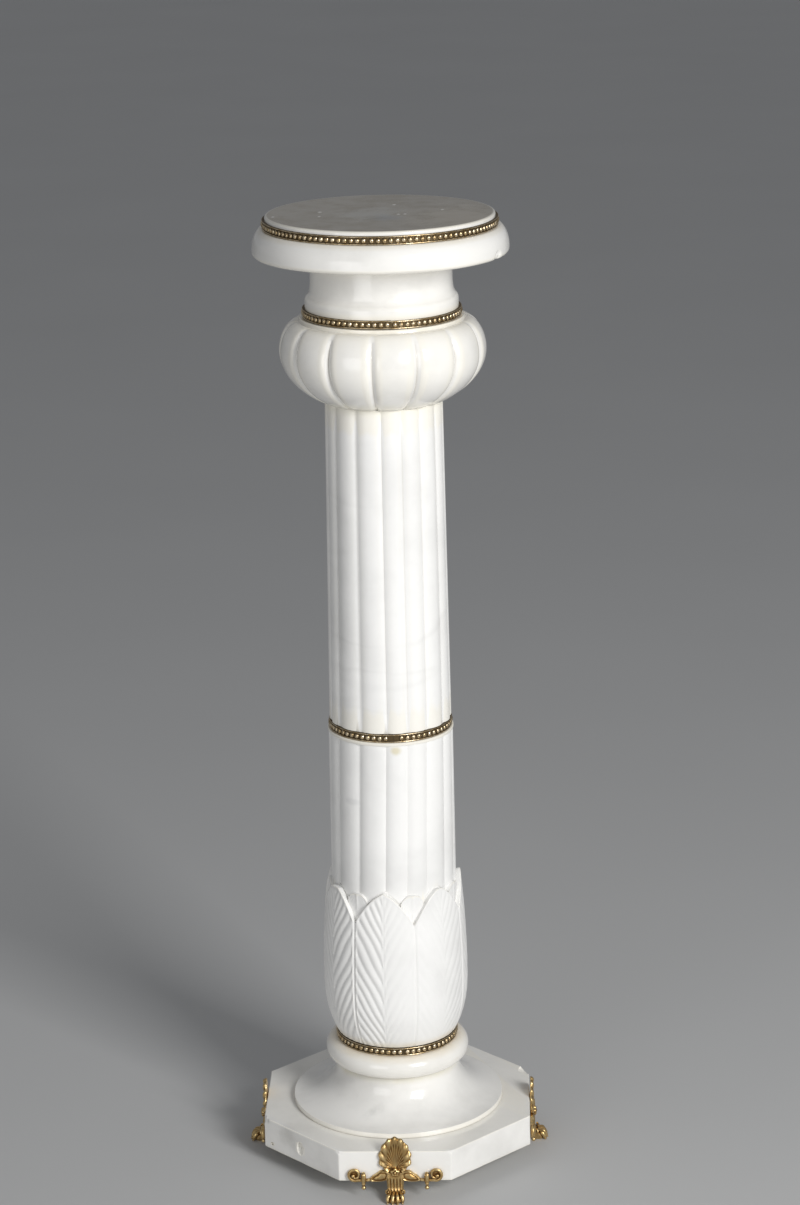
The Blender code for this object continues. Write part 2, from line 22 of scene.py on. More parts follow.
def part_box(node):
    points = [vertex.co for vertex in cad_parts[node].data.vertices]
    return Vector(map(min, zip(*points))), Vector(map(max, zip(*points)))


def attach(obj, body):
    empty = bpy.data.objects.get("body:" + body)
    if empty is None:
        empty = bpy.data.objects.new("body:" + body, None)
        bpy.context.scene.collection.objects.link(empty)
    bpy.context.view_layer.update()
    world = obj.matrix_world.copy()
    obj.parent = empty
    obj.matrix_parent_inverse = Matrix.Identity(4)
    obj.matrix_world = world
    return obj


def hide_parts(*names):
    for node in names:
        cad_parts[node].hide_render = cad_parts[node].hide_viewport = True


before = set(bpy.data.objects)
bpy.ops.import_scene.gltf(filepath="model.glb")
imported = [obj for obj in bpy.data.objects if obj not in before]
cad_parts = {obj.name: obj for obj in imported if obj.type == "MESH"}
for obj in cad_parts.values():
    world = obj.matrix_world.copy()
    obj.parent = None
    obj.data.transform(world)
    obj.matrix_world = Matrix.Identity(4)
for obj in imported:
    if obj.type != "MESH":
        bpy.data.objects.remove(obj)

LOG = logging.getLogger("marble_column")
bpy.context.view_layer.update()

MM = 0.001
FIT = 0.3 * MM
HOLLOW = "hollow"
COLOURS = {"data_type": "RGBA"}
SMOOTH = {"interpolation_type": "SMOOTHSTEP"}

# A ring of a spun form: the point at each even bearing
Ring = Callable[[float], Vector]


class Slot(Enum):
    """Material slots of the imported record."""

    POLISHED = "polished_marble"
    HONED = "honed_marble"
    BRASS = "aged_gilt_brass"
    BRONZE = "gilt_bronze"


# Forms that the parts share


def polar(radius: float, bearing: float, height: float) -> Vector:
    """Point at a radius, a bearing and a height."""
    angle = math.radians(bearing)
    return Vector((radius * math.sin(angle), -radius * math.cos(angle), height))


def bearing_of(point: Vector) -> float:
    """Bearing of a point, from 0 up to 360."""
    return math.degrees(math.atan2(point.x, -point.y)) % 360.0


def inward(point: Vector) -> Vector:
    """Level direction from a point to the axis."""
    return Vector((-point.x, -point.y, 0.0)).normalized()


def mix(start: float, end: float, share: float) -> float:
    """Number at a share of the way from start to end."""
    return start + (end - start) * share


def ease(share: float) -> float:
    """Smooth step from 0 to 1, flat beyond both ends."""
    share = min(max(share, 0.0), 1.0)
    return share * share * (3.0 - 2.0 * share)


def gather(share: float, pull: float) -> float:
    """Draws even columns towards the grooves at both ends of a lobe or reed."""
    return share + pull * math.sin(math.tau * share) / math.tau


def level(radius: float, height: float) -> Ring:
    """Plain round ring."""
    return lambda bearing: polar(radius, bearing, height)


def arc(
    centre: tuple[float, float], radii: tuple[float, float], start: float, end: float, steps: int
) -> list[tuple[float, float]]:
    """Points of a profile along an ellipse.

    Args:
        centre: radius and height of the ellipse's centre.
        radii: half-width and half-height.
        start: first angle in degrees, from outwards towards up.
        end: last angle in degrees.
        steps: number of equal stretches.

    Returns:
        Pairs of radius and height.
    """
    turns = [math.radians(mix(start, end, k / steps)) for k in range(steps + 1)]
    return [(centre[0] + radii[0] * math.cos(t), centre[1] + radii[1] * math.sin(t)) for t in turns]


def spun(rings: Sequence[Ring], columns: int) -> BMesh:
    """Spins a straight pole, one joint per ring, and moves each joint to where its ring says.

    Args:
        rings: the rings in order along the form. A ring of no width closes the form to a pole.
        columns: number of columns.

    Returns:
        A closed mesh whose faces point outwards.
    """
    bm = bmesh.new()
    pole = [bm.verts.new((0.0, -1.0, float(k))) for k in range(len(rings))]
    geom = [*pole, *(bm.edges.new(pair) for pair in zip(pole, pole[1:]))]
    bmesh.ops.spin(bm, geom=geom, axis=(0.0, 0.0, 1.0), angle=math.tau, steps=columns, use_merge=True)
    for vert in bm.verts:
        vert.co = rings[round(vert.co.z)](bearing_of(vert.co))
    bmesh.ops.remove_doubles(bm, verts=bm.verts, dist=0.002 * MM)
    bmesh.ops.holes_fill(bm, edges=[edge for edge in bm.edges if edge.is_boundary], sides=0)
    bmesh.ops.recalc_face_normals(bm, faces=bm.faces)
    return bm


def turned(profile: Sequence[tuple[float, float]], columns: int) -> BMesh:
    """Plain turned form from pairs of radius and height."""
    return spun([level(*point) for point in profile], columns)


def egg(centre: Vector, half: Vector, tilt: float = 0.0) -> BMesh:
    """Egg-shaped form.

    Args:
        centre: its centre.
        half: its half-sizes.
        tilt: turn about X in degrees.

    Returns:
        The mesh.
    """
    bm = bmesh.new()
    bmesh.ops.create_uvsphere(bm, u_segments=16, v_segments=10, radius=1.0)
    bmesh.ops.scale(bm, verts=bm.verts, vec=half)
    bmesh.ops.rotate(bm, verts=bm.verts, matrix=Matrix.Rotation(math.radians(tilt), 3, "X"))
    bmesh.ops.translate(bm, verts=bm.verts, vec=centre)
    return bm


def tube(path: Sequence[tuple[Vector, float, float]], columns: int) -> BMesh:
    """Round bar along a path, capped at both ends.

    Args:
        path: points with the bar's half-thickness along the plinth's face and out of it.
        columns: columns round the bar.

    Returns:
        The mesh.
    """
    rings = []
    for k, (centre, flat, deep) in enumerate(path):
        along = (path[min(k + 1, len(path) - 1)][0] - path[max(k - 1, 0)][0]).normalized()
        across = along.cross(Vector((0.0, 1.0, 0.0))).normalized() * flat
        out = across.normalized().cross(along) * deep

        def point(bearing: float, centre=centre, across=across, out=out) -> Vector:
            """Point of the bar's skin."""
            turn = math.radians(bearing)
            return centre + across * math.sin(turn) + out * math.cos(turn)

        rings.append(point)
    return spun(rings, columns)


def join(forms: Sequence[BMesh]) -> BMesh:
    """Puts several meshes into the first one and frees the others."""
    whole = forms[0]
    for form in forms[1:]:
        mesh = bpy.data.meshes.new("form")
        form.to_mesh(mesh)
        form.free()
        whole.from_mesh(mesh)
        bpy.data.meshes.remove(mesh)
    return whole


def dent(bm: BMesh, centre: Vector, reach: float, depth: float) -> None:
    """Breaks a flake out of a stone edge.

    Args:
        bm: the mesh.
        centre: middle of the flake.
        reach: how far round the middle it goes.
        depth: how far the stone is taken back towards the axis.
    """
    near = [edge for edge in bm.edges if all((v.co - centre).length < 1.3 * reach for v in edge.verts)]
    bmesh.ops.subdivide_edges(bm, edges=near, cuts=2, use_grid_fill=True)
    for vert in bm.verts:
        share = 1.0 - (vert.co - centre).length / reach
        if share > 0.0:
            rough = 0.8 + 0.4 * noise.noise(vert.co * 260.0)
            vert.co += inward(vert.co) * (depth * rough * ease(1.6 * share))


def mark_hollows(bm: BMesh, gain: float, rounds: int = 2) -> None:
    """Stores on each vertex how deep in a hollow it lies, from how its neighbours stand round it.

    Args:
        bm: the mesh, whose faces point outwards.
        gain: how fast the mark rises with the bend.
        rounds: how often the mark is evened out with its neighbours'.
    """
    bm.normal_update()
    bm.verts.index_update()
    marks = []
    for vert in bm.verts:
        ways = [(edge.other_vert(vert).co - vert.co).normalized() for edge in vert.link_edges]
        marks.append(sum(way.dot(vert.normal) for way in ways) / max(len(ways), 1))
    for _ in range(rounds):
        evened = []
        for vert in bm.verts:
            near = [marks[edge.other_vert(vert).index] for edge in vert.link_edges]
            evened.append(0.5 * marks[vert.index] + 0.5 * sum(near) / max(len(near), 1))
        marks = evened
    layer = bm.verts.layers.float.new(HOLLOW)
    for vert in bm.verts:
        vert[layer] = min(max(0.5 + gain * marks[vert.index], 0.0), 1.0)


def mark_occlusion_shade(bm: BMesh, reach: float, gain: float) -> None:
    """Raises the hollow mark where other parts of the piece stand close in front of a vertex: painted shade,
    since the gilding darkens where nearby forms block the outlook, as ambient occlusion would.

    Args:
        bm: the mesh, marked before by mark_hollows.
        reach: how near a part must be to count.
        gain: how fast the mark rises with the share of the outlook that is blocked.
    """
    count, golden_turn = 24, 2.4
    looks = []
    for k in range(count):
        rise = 1.0 - 2.0 * (k + 0.5) / count
        flat = math.sqrt(1.0 - rise * rise)
        looks.append(Vector((flat * math.cos(golden_turn * k), flat * math.sin(golden_turn * k), rise)))
    tree = BVHTree.FromBMesh(bm)
    layer = bm.verts.layers.float[HOLLOW]
    bm.normal_update()
    for vert in bm.verts:
        ways = [look for look in looks if look.dot(vert.normal) > 0.25]
        start = vert.co + vert.normal * 0.02 * MM
        blocked = sum(tree.ray_cast(start, way, reach)[0] is not None for way in ways)
        if blocked:
            vert[layer] = min(max(vert[layer], 0.5 + gain * blocked / len(ways) * 0.5), 1.0)


def add_object(name: str, bm: BMesh) -> Object:
    """Makes a linked object of a mesh, which is freed."""
    mesh = bpy.data.meshes.new(name)
    bm.to_mesh(mesh)
    bm.free()
    thing = bpy.data.objects.new(name, mesh)
    bpy.context.scene.collection.objects.link(thing)
    return thing


def add_piece(name: str, bm: BMesh, material: Material, node: str, sharp: float = 40.0) -> Object:
    """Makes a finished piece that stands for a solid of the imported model.

    Args:
        name: name of the piece.
        bm: its mesh, freed here.
        material: its finish.
        node: the solid that it stands for.
        sharp: angle in degrees past which an edge stays crisp.

    Returns:
        The object, at the origin and unturned.
    """
    piece = add_object(name, bm)
    piece.data.shade_smooth()
    piece.data.set_sharp_from_angle(angle=math.radians(sharp))
    piece.data.materials.append(material)
    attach(piece, "root")
    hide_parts(node)
    return piece


# Finishes


def linear(code: str) -> tuple[float, float, float, float]:
    """Linear colour of an sRGB hex code such as F2EFE8."""
    parts = [int(code[k : k + 2], 16) / 255.0 for k in (0, 2, 4)]
    bright = [c / 12.92 if c <= 0.04045 else ((c + 0.055) / 1.055) ** 2.4 for c in parts]
    return (*bright, 1.0)


def plug(node: Node, inputs: Mapping[object, object]) -> None:
    """Fills a node's inputs, by name or number, each with a socket to link or a value to set."""
    for key, value in inputs.items():
        if isinstance(value, NodeSocket):
            node.id_data.links.new(value, node.inputs[key])
        else:
            node.inputs[key].default_value = value


def add_node(
    tree: NodeTree, kind: str, inputs: Mapping[object, object], output: int | str = 0, **settings: object
) -> NodeSocket:
    """Adds a node with its settings and links.

    Args:
        tree: the material's node tree.
        kind: type of the node, without its prefix.
        inputs: by name or number, a socket to link or a value to set.
        output: name or number of the output that is wanted.
        settings: attributes of the node by name.

    Returns:
        The output.
    """
    node = tree.nodes.new("ShaderNode" + kind)
    for key, value in settings.items():
        setattr(node, key, value)
    plug(node, inputs)
    return node.outputs[output]


def new_material(name: str) -> tuple[Material, NodeSocket]:
    """Starts a material with nodes.

    Args:
        name: its name.

    Returns:
        The material, and the point in the piece's own frame.
    """
    material = bpy.data.materials.new(name)
    material.use_nodes = True
    return material, add_node(material.node_tree, "TexCoord", {}, "Object")


@dataclass(frozen=True)
class StainAndShadeBand:
    """Band of colour at a height: yellowing near a joint, a dark line along the base's foot, and partly
    painted shade on the slab's top.

    Attributes:
        height: where it is strongest.
        reach: how far it fades out, up and down.
        colour: its colour.
        strength: share of the colour at its strongest.
        thin: share of it that is left in its thinnest patches.
    """

    height: float
    reach: float
    colour: str
    strength: float
    thin: float = 0.45

    def share(self, tree: NodeTree, place: NodeSocket, patches: NodeSocket) -> NodeSocket:
        """Share of the band's colour at a point.

        Args:
            tree: the material's node tree.
            place: the point, in the piece's own frame.
            patches: noise that makes the band uneven.

        Returns:
            The share.
        """
        height = add_node(tree, "SeparateXYZ", {0: place}, "Z")
        off = add_node(tree, "Math", {0: height, 1: self.height}, operation="SUBTRACT")
        near = add_node(tree, "Math", {0: off}, operation="ABSOLUTE")
        band = add_node(tree, "MapRange", {0: near, 2: self.reach, 3: self.strength, 4: 0.0}, **SMOOTH)
        uneven = add_node(tree, "MapRange", {0: patches, 1: 0.25, 2: 0.75, 3: self.thin}, **SMOOTH)
        return add_node(tree, "Math", {0: band, 1: uneven}, operation="MULTIPLY")


@dataclass(frozen=True)
class SmudgeAndLightPatch:
    """Round soft mark on the stone: a smudge, and on the slab's top a patch of painted light.

    Attributes:
        place: its middle.
        reach: how far it fades out along X, Y and Z.
        colour: its colour.
        strength: share of the colour in the middle.
    """

    place: tuple[float, float, float]
    reach: tuple[float, float, float]
    colour: str
    strength: float

    def share(self, tree: NodeTree, place: NodeSocket, patches: NodeSocket) -> NodeSocket:
        """Share of the mark's colour at a point.

        Args:
            tree: the material's node tree.
            place: the point, in the piece's own frame.
            patches: noise that breaks up the mark's outline.

        Returns:
            The share.
        """
        off = add_node(tree, "VectorMath", {0: place, 1: self.place}, operation="SUBTRACT")
        part = add_node(tree, "VectorMath", {0: off, 1: self.reach}, operation="DIVIDE")
        far = add_node(tree, "VectorMath", {0: part}, "Value", operation="LENGTH")
        ragged = add_node(tree, "Math", {0: patches, 1: 1.2, 2: far}, operation="MULTIPLY_ADD")
        return add_node(tree, "MapRange", {0: ragged, 1: 0.75, 2: 1.5, 3: self.strength, 4: 0.0}, **SMOOTH)


@dataclass(frozen=True)
class Marble:
    """White marble: milky ground, grey clouds, a few thin veins and stains at the joints; on the slab's top
    also painted light and shade.

    Attributes:
        slot: the record's material slot, which also names the finish.
        ground: colour of the stone.
        cloud: colour of its clouds.
        vein: colour of its veins.
        cloud_size: width of a cloud.
        vein_gap: distance between veins.
        roughness: of the finished surface.
        coat: how strong the wax polish over it is.
        seed: moves the pattern.
        patch_size: width of the patches of a stain and of the smears in the polish.
        rub_size: width of the unevenness left by hand rubbing.
        dirt: colour that gathers in the hollows.
        worn: colour of the rubbed edges.
    """

    slot: Slot
    ground: str
    cloud: str
    vein: str
    cloud_size: float
    vein_gap: float
    roughness: float
    coat: float
    seed: float = 0.0
    patch_size: float = 22 * MM
    rub_size: float = 9 * MM
    dirt: str = "BDB8AA"
    worn: str = "F7F3E8"

    def material(self, marks: Sequence[StainAndShadeBand | SmudgeAndLightPatch] = (), moved: float = 0.0) -> Material:
        """Builds the stone for one piece.

        Args:
            marks: the stains, smudges and painted light and shade of this piece, the lowest first.
            moved: shifts the pattern, so that two pieces don't match.

        Returns:
            The material.
        """
        material, place = new_material(self.slot.value)
        tree = material.node_tree
        shift = (self.seed + moved, 0.37 * moved, 0.0)
        shifted = add_node(tree, "Mapping", {"Vector": place, "Location": shift})
        looks = {"Vector": shifted, "Scale": 1.0 / self.cloud_size, "Detail": 4.0, "Roughness": 0.55}
        clouds = add_node(tree, "TexNoise", looks)
        looks = {"Vector": shifted, "Scale": 1.0 / self.patch_size, "Detail": 3.0, "Roughness": 0.6}
        patches = add_node(tree, "TexNoise", looks)
        hollow = add_node(tree, "Attribute", {}, "Fac", attribute_name=HOLLOW)
        colour = linear(self.ground)
        for share, code in (
            (add_node(tree, "MapRange", {0: clouds, 1: 0.42, 2: 0.74, 4: 0.8}, **SMOOTH), self.cloud),
            (self.veins(tree, shifted), self.vein),
            *((mark.share(tree, place, patches), mark.colour) for mark in marks),
            (add_node(tree, "MapRange", {0: hollow, 1: 0.55, 2: 0.9, 4: 0.5}, **SMOOTH), self.dirt),
            (add_node(tree, "MapRange", {0: hollow, 1: 0.39, 2: 0.47, 3: 0.75, 4: 0.0}, **SMOOTH), self.worn),
        ):
            colour = add_node(tree, "Mix", {0: share, 6: colour, 7: linear(code)}, 2, **COLOURS)
        span = {3: self.roughness * 0.8, 4: self.roughness * 1.35}
        smears = add_node(tree, "MapRange", {0: patches, 1: 0.35, 2: 0.7, **span}, **SMOOTH)
        # The rubbing marks are drawn coarser than the crystals so that they show
        swell = add_node(tree, "TexNoise", {"Vector": shifted, "Scale": 1.0 / self.rub_size, "Detail": 3.0})
        bump = add_node(tree, "Bump", {"Height": swell, "Strength": 0.12, "Distance": 0.6 * MM})
        inputs = {"Base Color": colour, "Roughness": smears, "Normal": bump, "IOR": 1.5}
        inputs |= {"Coat Weight": self.coat, "Coat Roughness": 0.08}
        plug(tree.nodes["Principled BSDF"], inputs)
        return material

    def veins(self, tree: NodeTree, place: NodeSocket) -> NodeSocket:
        """Thin lines where a warped field crosses its middle, and only in places.

        Args:
            tree: the material's node tree.
            place: the point in the pattern.

        Returns:
            Share of the veins' colour.
        """
        looks = {"Vector": place, "Scale": 0.6 / self.vein_gap, "Detail": 3.0}
        warp = add_node(tree, "TexNoise", looks, "Color")
        bent = add_node(tree, "Mix", {0: 0.06, 6: place, 7: warp}, 2, blend_type="ADD", **COLOURS)
        flat = add_node(tree, "Mapping", {"Vector": bent, "Scale": (0.4, 0.4, 2.2)})
        looks = {"Vector": flat, "Scale": 1.0 / self.vein_gap, "Detail": 1.0, "Roughness": 0.4}
        field = add_node(tree, "TexNoise", looks)
        off = add_node(tree, "Math", {0: field, 1: 0.5}, operation="SUBTRACT")
        near = add_node(tree, "Math", {0: off}, operation="ABSOLUTE")
        line = add_node(tree, "MapRange", {0: near, 2: 0.035, 3: 1.0, 4: 0.0}, **SMOOTH)
        places = add_node(tree, "TexNoise", {"Vector": place, "Scale": 0.9 / self.vein_gap, "Detail": 1.0})
        mask = add_node(tree, "MapRange", {0: places, 1: 0.5, 2: 0.72, 4: 0.14}, **SMOOTH)
        return add_node(tree, "Math", {0: line, 1: mask}, operation="MULTIPLY")


@dataclass(frozen=True)
class Gilding:
    """Gilt copper alloy: bright gold on the high places, brown in the hollows, which is tarnish and, in the
    cast feet, painted shade too.

    Attributes:
        slot: the record's material slot, which also names the finish.
        gold: colour of the rubbed gilding.
        warm: colour of the duller gilding between.
        patina_and_shade: colour of the dark in the hollows: tarnish, and painted shade where close forms
            block the outlook.
        cover: how far that dark has spread, from 0 to 1.
        shine: roughness of the rubbed places.
        dull: roughness of the dark places.
        blotch_size: width of the duller blotches.
        pit_size: width of the casting's pits, drawn coarse so that they show.
    """

    slot: Slot
    gold: str
    warm: str
    patina_and_shade: str
    cover: float
    shine: float
    dull: float
    blotch_size: float = 6 * MM
    pit_size: float = 1.6 * MM

    def material(self) -> Material:
        """Builds the gilding.

        Returns:
            The material.
        """
        material, place = new_material(self.slot.value)
        tree = material.node_tree
        looks = {"Vector": place, "Scale": 1.0 / self.blotch_size, "Detail": 4.0, "Roughness": 0.6}
        blotches = add_node(tree, "TexNoise", looks)
        hollow = add_node(tree, "Attribute", {}, "Fac", attribute_name=HOLLOW)
        spread = add_node(tree, "Math", {0: blotches, 1: 0.45, 2: hollow}, operation="MULTIPLY_ADD")
        edge = 0.95 - 0.35 * self.cover
        dark = add_node(tree, "MapRange", {0: spread, 1: edge - 0.28, 2: edge + 0.1}, **SMOOTH)
        rubbed = add_node(tree, "MapRange", {0: blotches, 1: 0.38, 2: 0.62}, **SMOOTH)
        gold = add_node(tree, "Mix", {0: rubbed, 6: linear(self.warm), 7: linear(self.gold)}, 2, **COLOURS)
        # The dark is tarnish, and in the feet also painted shade from the blocked outlook
        colour = add_node(tree, "Mix", {0: dark, 6: gold, 7: linear(self.patina_and_shade)}, 2, **COLOURS)
        rough = add_node(tree, "MapRange", {0: dark, 3: self.shine, 4: self.dull}, **SMOOTH)
        pits = add_node(tree, "TexNoise", {"Vector": place, "Scale": 1.0 / self.pit_size, "Detail": 2.0})
        bump = add_node(tree, "Bump", {"Height": pits, "Strength": 0.25, "Distance": 0.2 * MM})
        inputs = {"Base Color": colour, "Roughness": rough, "Normal": bump, "Metallic": 1.0}
        plug(tree.nodes["Principled BSDF"], inputs)
        return material


# Rubbed to a gloss and waxed: sharp small highlights over a milky ground
POLISHED_MARBLE = Marble(
    Slot.POLISHED, "F6F4EF", "E3E1DC", "BDBBB6", 70 * MM, 150 * MM, roughness=0.16, coat=0.35
)

# Rubbed with grit only: soft, broad highlights, so that the carving reads by its shade
HONED_MARBLE = Marble(
    Slot.HONED, "F7F6F3", "E9E8E5", "C3C2BF", 90 * MM, 120 * MM, roughness=0.4, coat=0.05, seed=3.1
)

# Thin stamped strip, its gilding worn: brown with a glint on each bead
AGED_GILT_BRASS = Gilding(Slot.BRASS, "E4D3B4", "B29A72", "695A42", cover=0.5, shine=0.3, dull=0.55)

# Cast bronze, fire gilt and toned: yellow gold with brown in the chased lines, and painted shade where its
# forms stand close
GILT_BRONZE = Gilding(Slot.BRONZE, "DEC48F", "CBA970", "7E5A2E", cover=0.3, shine=0.36, dull=0.5)


# Parts of the column


@dataclass
class TopSlab:
    """Round top slab: rounded edge, shoulder and a low disc that carries the top ring.

    Attributes:
        radius: widest radius, at the bulge.
        bulge_rise: height of the bulge above the underside.
        ovolo_centre: radius of the centre of the edge's curve.
        ovolo_height: half-height of that curve.
        ovolo_end: angle where the curve meets the shoulder.
        disc_radius: radius of the raised disc.
        disc_round: round of the disc's edge.
        foot_round: round of the lower edge.
        columns: number of columns.
        flecks: white flecks on the disc: X, Y and half-width in millimetres.
    """

    radius: float = 136.8 * MM
    bulge_rise: float = 6.5 * MM
    ovolo_centre: float = 122.0 * MM
    ovolo_height: float = 24.0 * MM
    ovolo_end: float = 67.67
    disc_radius: float = 122.3 * MM
    disc_round: float = 2.6 * MM
    foot_round: float = 4.2 * MM
    columns: int = 240
    flecks: tuple[tuple[float, float, float], ...] = (
        (-64.0, 6.0, 3.6), (-63.0, -22.0, 2.6), (14.0, 50.0, 3.4), (20.0, -14.0, 3.2),
        (27.0, -13.0, 2.4), (66.0, 12.0, 2.8), (-112.0, -20.0, 2.6),
    )

    def build(self) -> list[Object]:
        """Turns the slab, wears its lower edge and dresses it."""
        low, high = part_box("top_slab")
        bulge = (self.ovolo_centre, low.z + self.bulge_rise)
        ovolo = (self.radius - self.ovolo_centre, self.ovolo_height)
        shoulder = bulge[1] + self.ovolo_height * math.sin(math.radians(self.ovolo_end))
        disc_edge = (self.disc_radius - self.disc_round, high.z - self.disc_round)
        foot_edge = (self.radius - self.foot_round, low.z + self.foot_round)
        profile = [(0.0, high.z), (0.06, high.z), (0.1, high.z), (self.disc_radius - 5 * MM, high.z)]
        profile += arc(disc_edge, (self.disc_round, self.disc_round), 90, 0, 5)
        profile += [(self.disc_radius, shoulder + 0.4 * MM), (self.disc_radius + 0.4 * MM, shoulder)]
        profile += arc(bulge, ovolo, self.ovolo_end, 0, 16)
        profile += arc(foot_edge, (self.foot_round, self.foot_round), 0, -90, 6)
        profile += [(self.radius - 14 * MM, low.z), (0.078, low.z), (0.0, low.z)]
        bm = turned(profile, self.columns)
        for vert in bm.verts:
            if vert.co.z < low.z + 0.6 * self.foot_round:
                nibble = noise.noise(vert.co * 55.0) * 0.5 + 0.5
                vert.co += inward(vert.co) * (0.7 * MM * nibble**2)
        dent(bm, polar(self.radius, 66.0, low.z + 3 * MM), 8 * MM, 2.4 * MM)
        mark_hollows(bm, 1.5)
        thin = 4 * MM
        marks = [
            # Top face darkened to a grey-beige: partly grime, partly painted shade of a top face that the key
            # light only grazes
            StainAndShadeBand(high.z, 2.4 * MM, "8B7F66", 0.97, 0.86),
            StainAndShadeBand(shoulder, 6 * MM, "E4D6B4", 0.45),
            StainAndShadeBand(low.z, 5 * MM, "E8DFC8", 0.4),
            # Paler beige over the right of the top: painted light, the side towards the key light shown
            # brighter
            SmudgeAndLightPatch((0.085, -0.04, high.z), (0.08, 0.11, thin), "B9AD96", 0.55),
            SmudgeAndLightPatch((-0.012, -0.01, high.z), (0.045, 0.06, thin), "B4B2A8", 0.6),
            SmudgeAndLightPatch((0.004, -0.036, high.z), (0.03, 0.03, thin), "868B90", 0.5),
        ]
        for x, y, size in self.flecks:
            marks.append(SmudgeAndLightPatch((x * MM, y * MM, high.z), (size * MM, 2.2 * size * MM, thin), "F4F1E8", 0.85))
        return [add_piece("polished_slab", bm, POLISHED_MARBLE.material(marks), "top_slab")]


@dataclass
class Neck:
    """Short turned neck: a plain drum behind the ring, a hollow sweep and a plain drum above.

    Attributes:
        foot_radius: radius of the lower drum.
        foot_height: its height.
        foot_round: round of its upper edge.
        step: how far the sweep starts in from that edge.
        radius: radius of the upper drum.
        sweep: height of the hollow between them.
        columns: number of columns.
    """

    foot_radius: float = 82.2 * MM
    foot_height: float = 24.5 * MM
    foot_round: float = 7.5 * MM
    step: float = 3.4 * MM
    radius: float = 76.0 * MM
    sweep: float = 17.5 * MM
    columns: int = 192

    def build(self) -> list[Object]:
        """Turns the neck and dresses it."""
        low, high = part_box("neck")
        foot_top = low.z + self.foot_height
        inner = self.foot_radius - self.step
        corner = (self.foot_radius - self.foot_round, foot_top - self.foot_round)
        profile = [(0.0, high.z), (self.radius, high.z), (self.radius, high.z - 5 * MM)]
        profile += arc((inner, foot_top + self.sweep), (inner - self.radius, self.sweep), 180, 240, 12)
        profile += arc(corner, (self.foot_round, self.foot_round), 52, 0, 9)
        profile += [(self.foot_radius, low.z + 10 * MM), (self.foot_radius, low.z), (0.0, low.z)]
        bm = turned(profile, self.columns)
        mark_hollows(bm, 1.5)
        marks = (StainAndShadeBand(low.z + 9 * MM, 5 * MM, "E3D3AC", 0.6), StainAndShadeBand(high.z, 10 * MM, "EADFC4", 0.3))
        return [add_piece("polished_neck", bm, POLISHED_MARBLE.material(marks, 0.4), "neck")]


@dataclass
class LobedCapital:
    """Cushion capital cut into upright lobes.

    Attributes:
        lobes: number of lobes.
        start: bearing of a groove.
        depth: depth of the grooves.
        radius: widest radius.
        belly: height from the underside to the widest line.
        shoulder: height of the rounded shoulder above it.
        crown_radius: radius where the shoulder ends.
        lip_radius: radius of the plain lip under the neck ring.
        belly_width: half-width of the curve of the belly.
        belly_height: half-height of that curve.
        rows: number of rings below the widest line, and above it.
        per_lobe: columns on each lobe.
    """

    lobes: int = 14
    start: float = -4.3
    depth: float = 4.2 * MM
    radius: float = 111.2 * MM
    belly: float = 54.0 * MM
    shoulder: float = 33.0 * MM
    crown_radius: float = 89.6 * MM
    lip_radius: float = 88.3 * MM
    belly_width: float = 112.0 * MM
    belly_height: float = 68.0 * MM
    rows: int = 14
    per_lobe: int = 22

    def lobed(self, crown: float, height: float, depth: float) -> Ring:
        """Ring through the lobes.

        Args:
            crown: radius on the crown of a lobe.
            height: height of the ring.
            depth: depth of the grooves here.

        Returns:
            The ring, its columns gathered towards the grooves.
        """
        spacing = 360.0 / self.lobes

        def point(bearing: float) -> Vector:
            """Point on a lobe: a shallow round, cut sharply at the groove."""
            lobe, share = divmod(bearing / spacing, 1.0)
            gathered = gather(share, 0.55)
            across = abs(2.0 * gathered - 1.0)
            cut = 0.28 * across**2 + 0.87 * max(0.0, (across - 0.78) / 0.22) ** 1.1
            return polar(crown - depth * cut, self.start + spacing * (lobe + gathered), height)

        return point

    def build(self) -> list[Object]:
        """Carves the capital and dresses it."""
        low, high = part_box("lobed_capital")
        widest = low.z + self.belly
        crown = widest + self.shoulder
        lip = self.lip_radius
        rings = [level(0.0, low.z), level(0.058, low.z)]
        for k in range(self.rows + 1):
            share = k / self.rows
            fall = self.belly * (1.0 - share)
            bulge = 1.0 - math.sqrt(1.0 - (fall / self.belly_height) ** 2)
            depth = self.depth * mix(1.15, 1.0, share)
            rings.append(self.lobed(self.radius - self.belly_width * bulge, widest - fall, depth))
        over = (self.radius - self.crown_radius, self.shoulder)
        for k, (reach, height) in enumerate(arc((self.crown_radius, widest), over, 0, 86, self.rows)[1:]):
            fade = mix(1.0, 0.35, ease(k / (self.rows - 1)))
            rings.append(self.lobed(reach, height, self.depth * fade))
        rings += [level(lip + 0.4 * MM, crown - 0.2 * MM), level(lip, crown + 0.5 * MM)]
        rings += [level(lip, high.z - 0.5 * MM), level(lip - 0.5 * MM, high.z)]
        rings += [level(0.08, high.z), level(0.0, high.z)]
        bm = spun(rings, self.lobes * self.per_lobe)
        mark_hollows(bm, 2.2)
        marks = (StainAndShadeBand(high.z, 6 * MM, "EBDDB8", 0.7), StainAndShadeBand(low.z, 14 * MM, "E2DBB6", 0.6))
        finish = POLISHED_MARBLE.material(marks, 1.3)
        return [add_piece("carved_capital", bm, finish, "lobed_capital")]


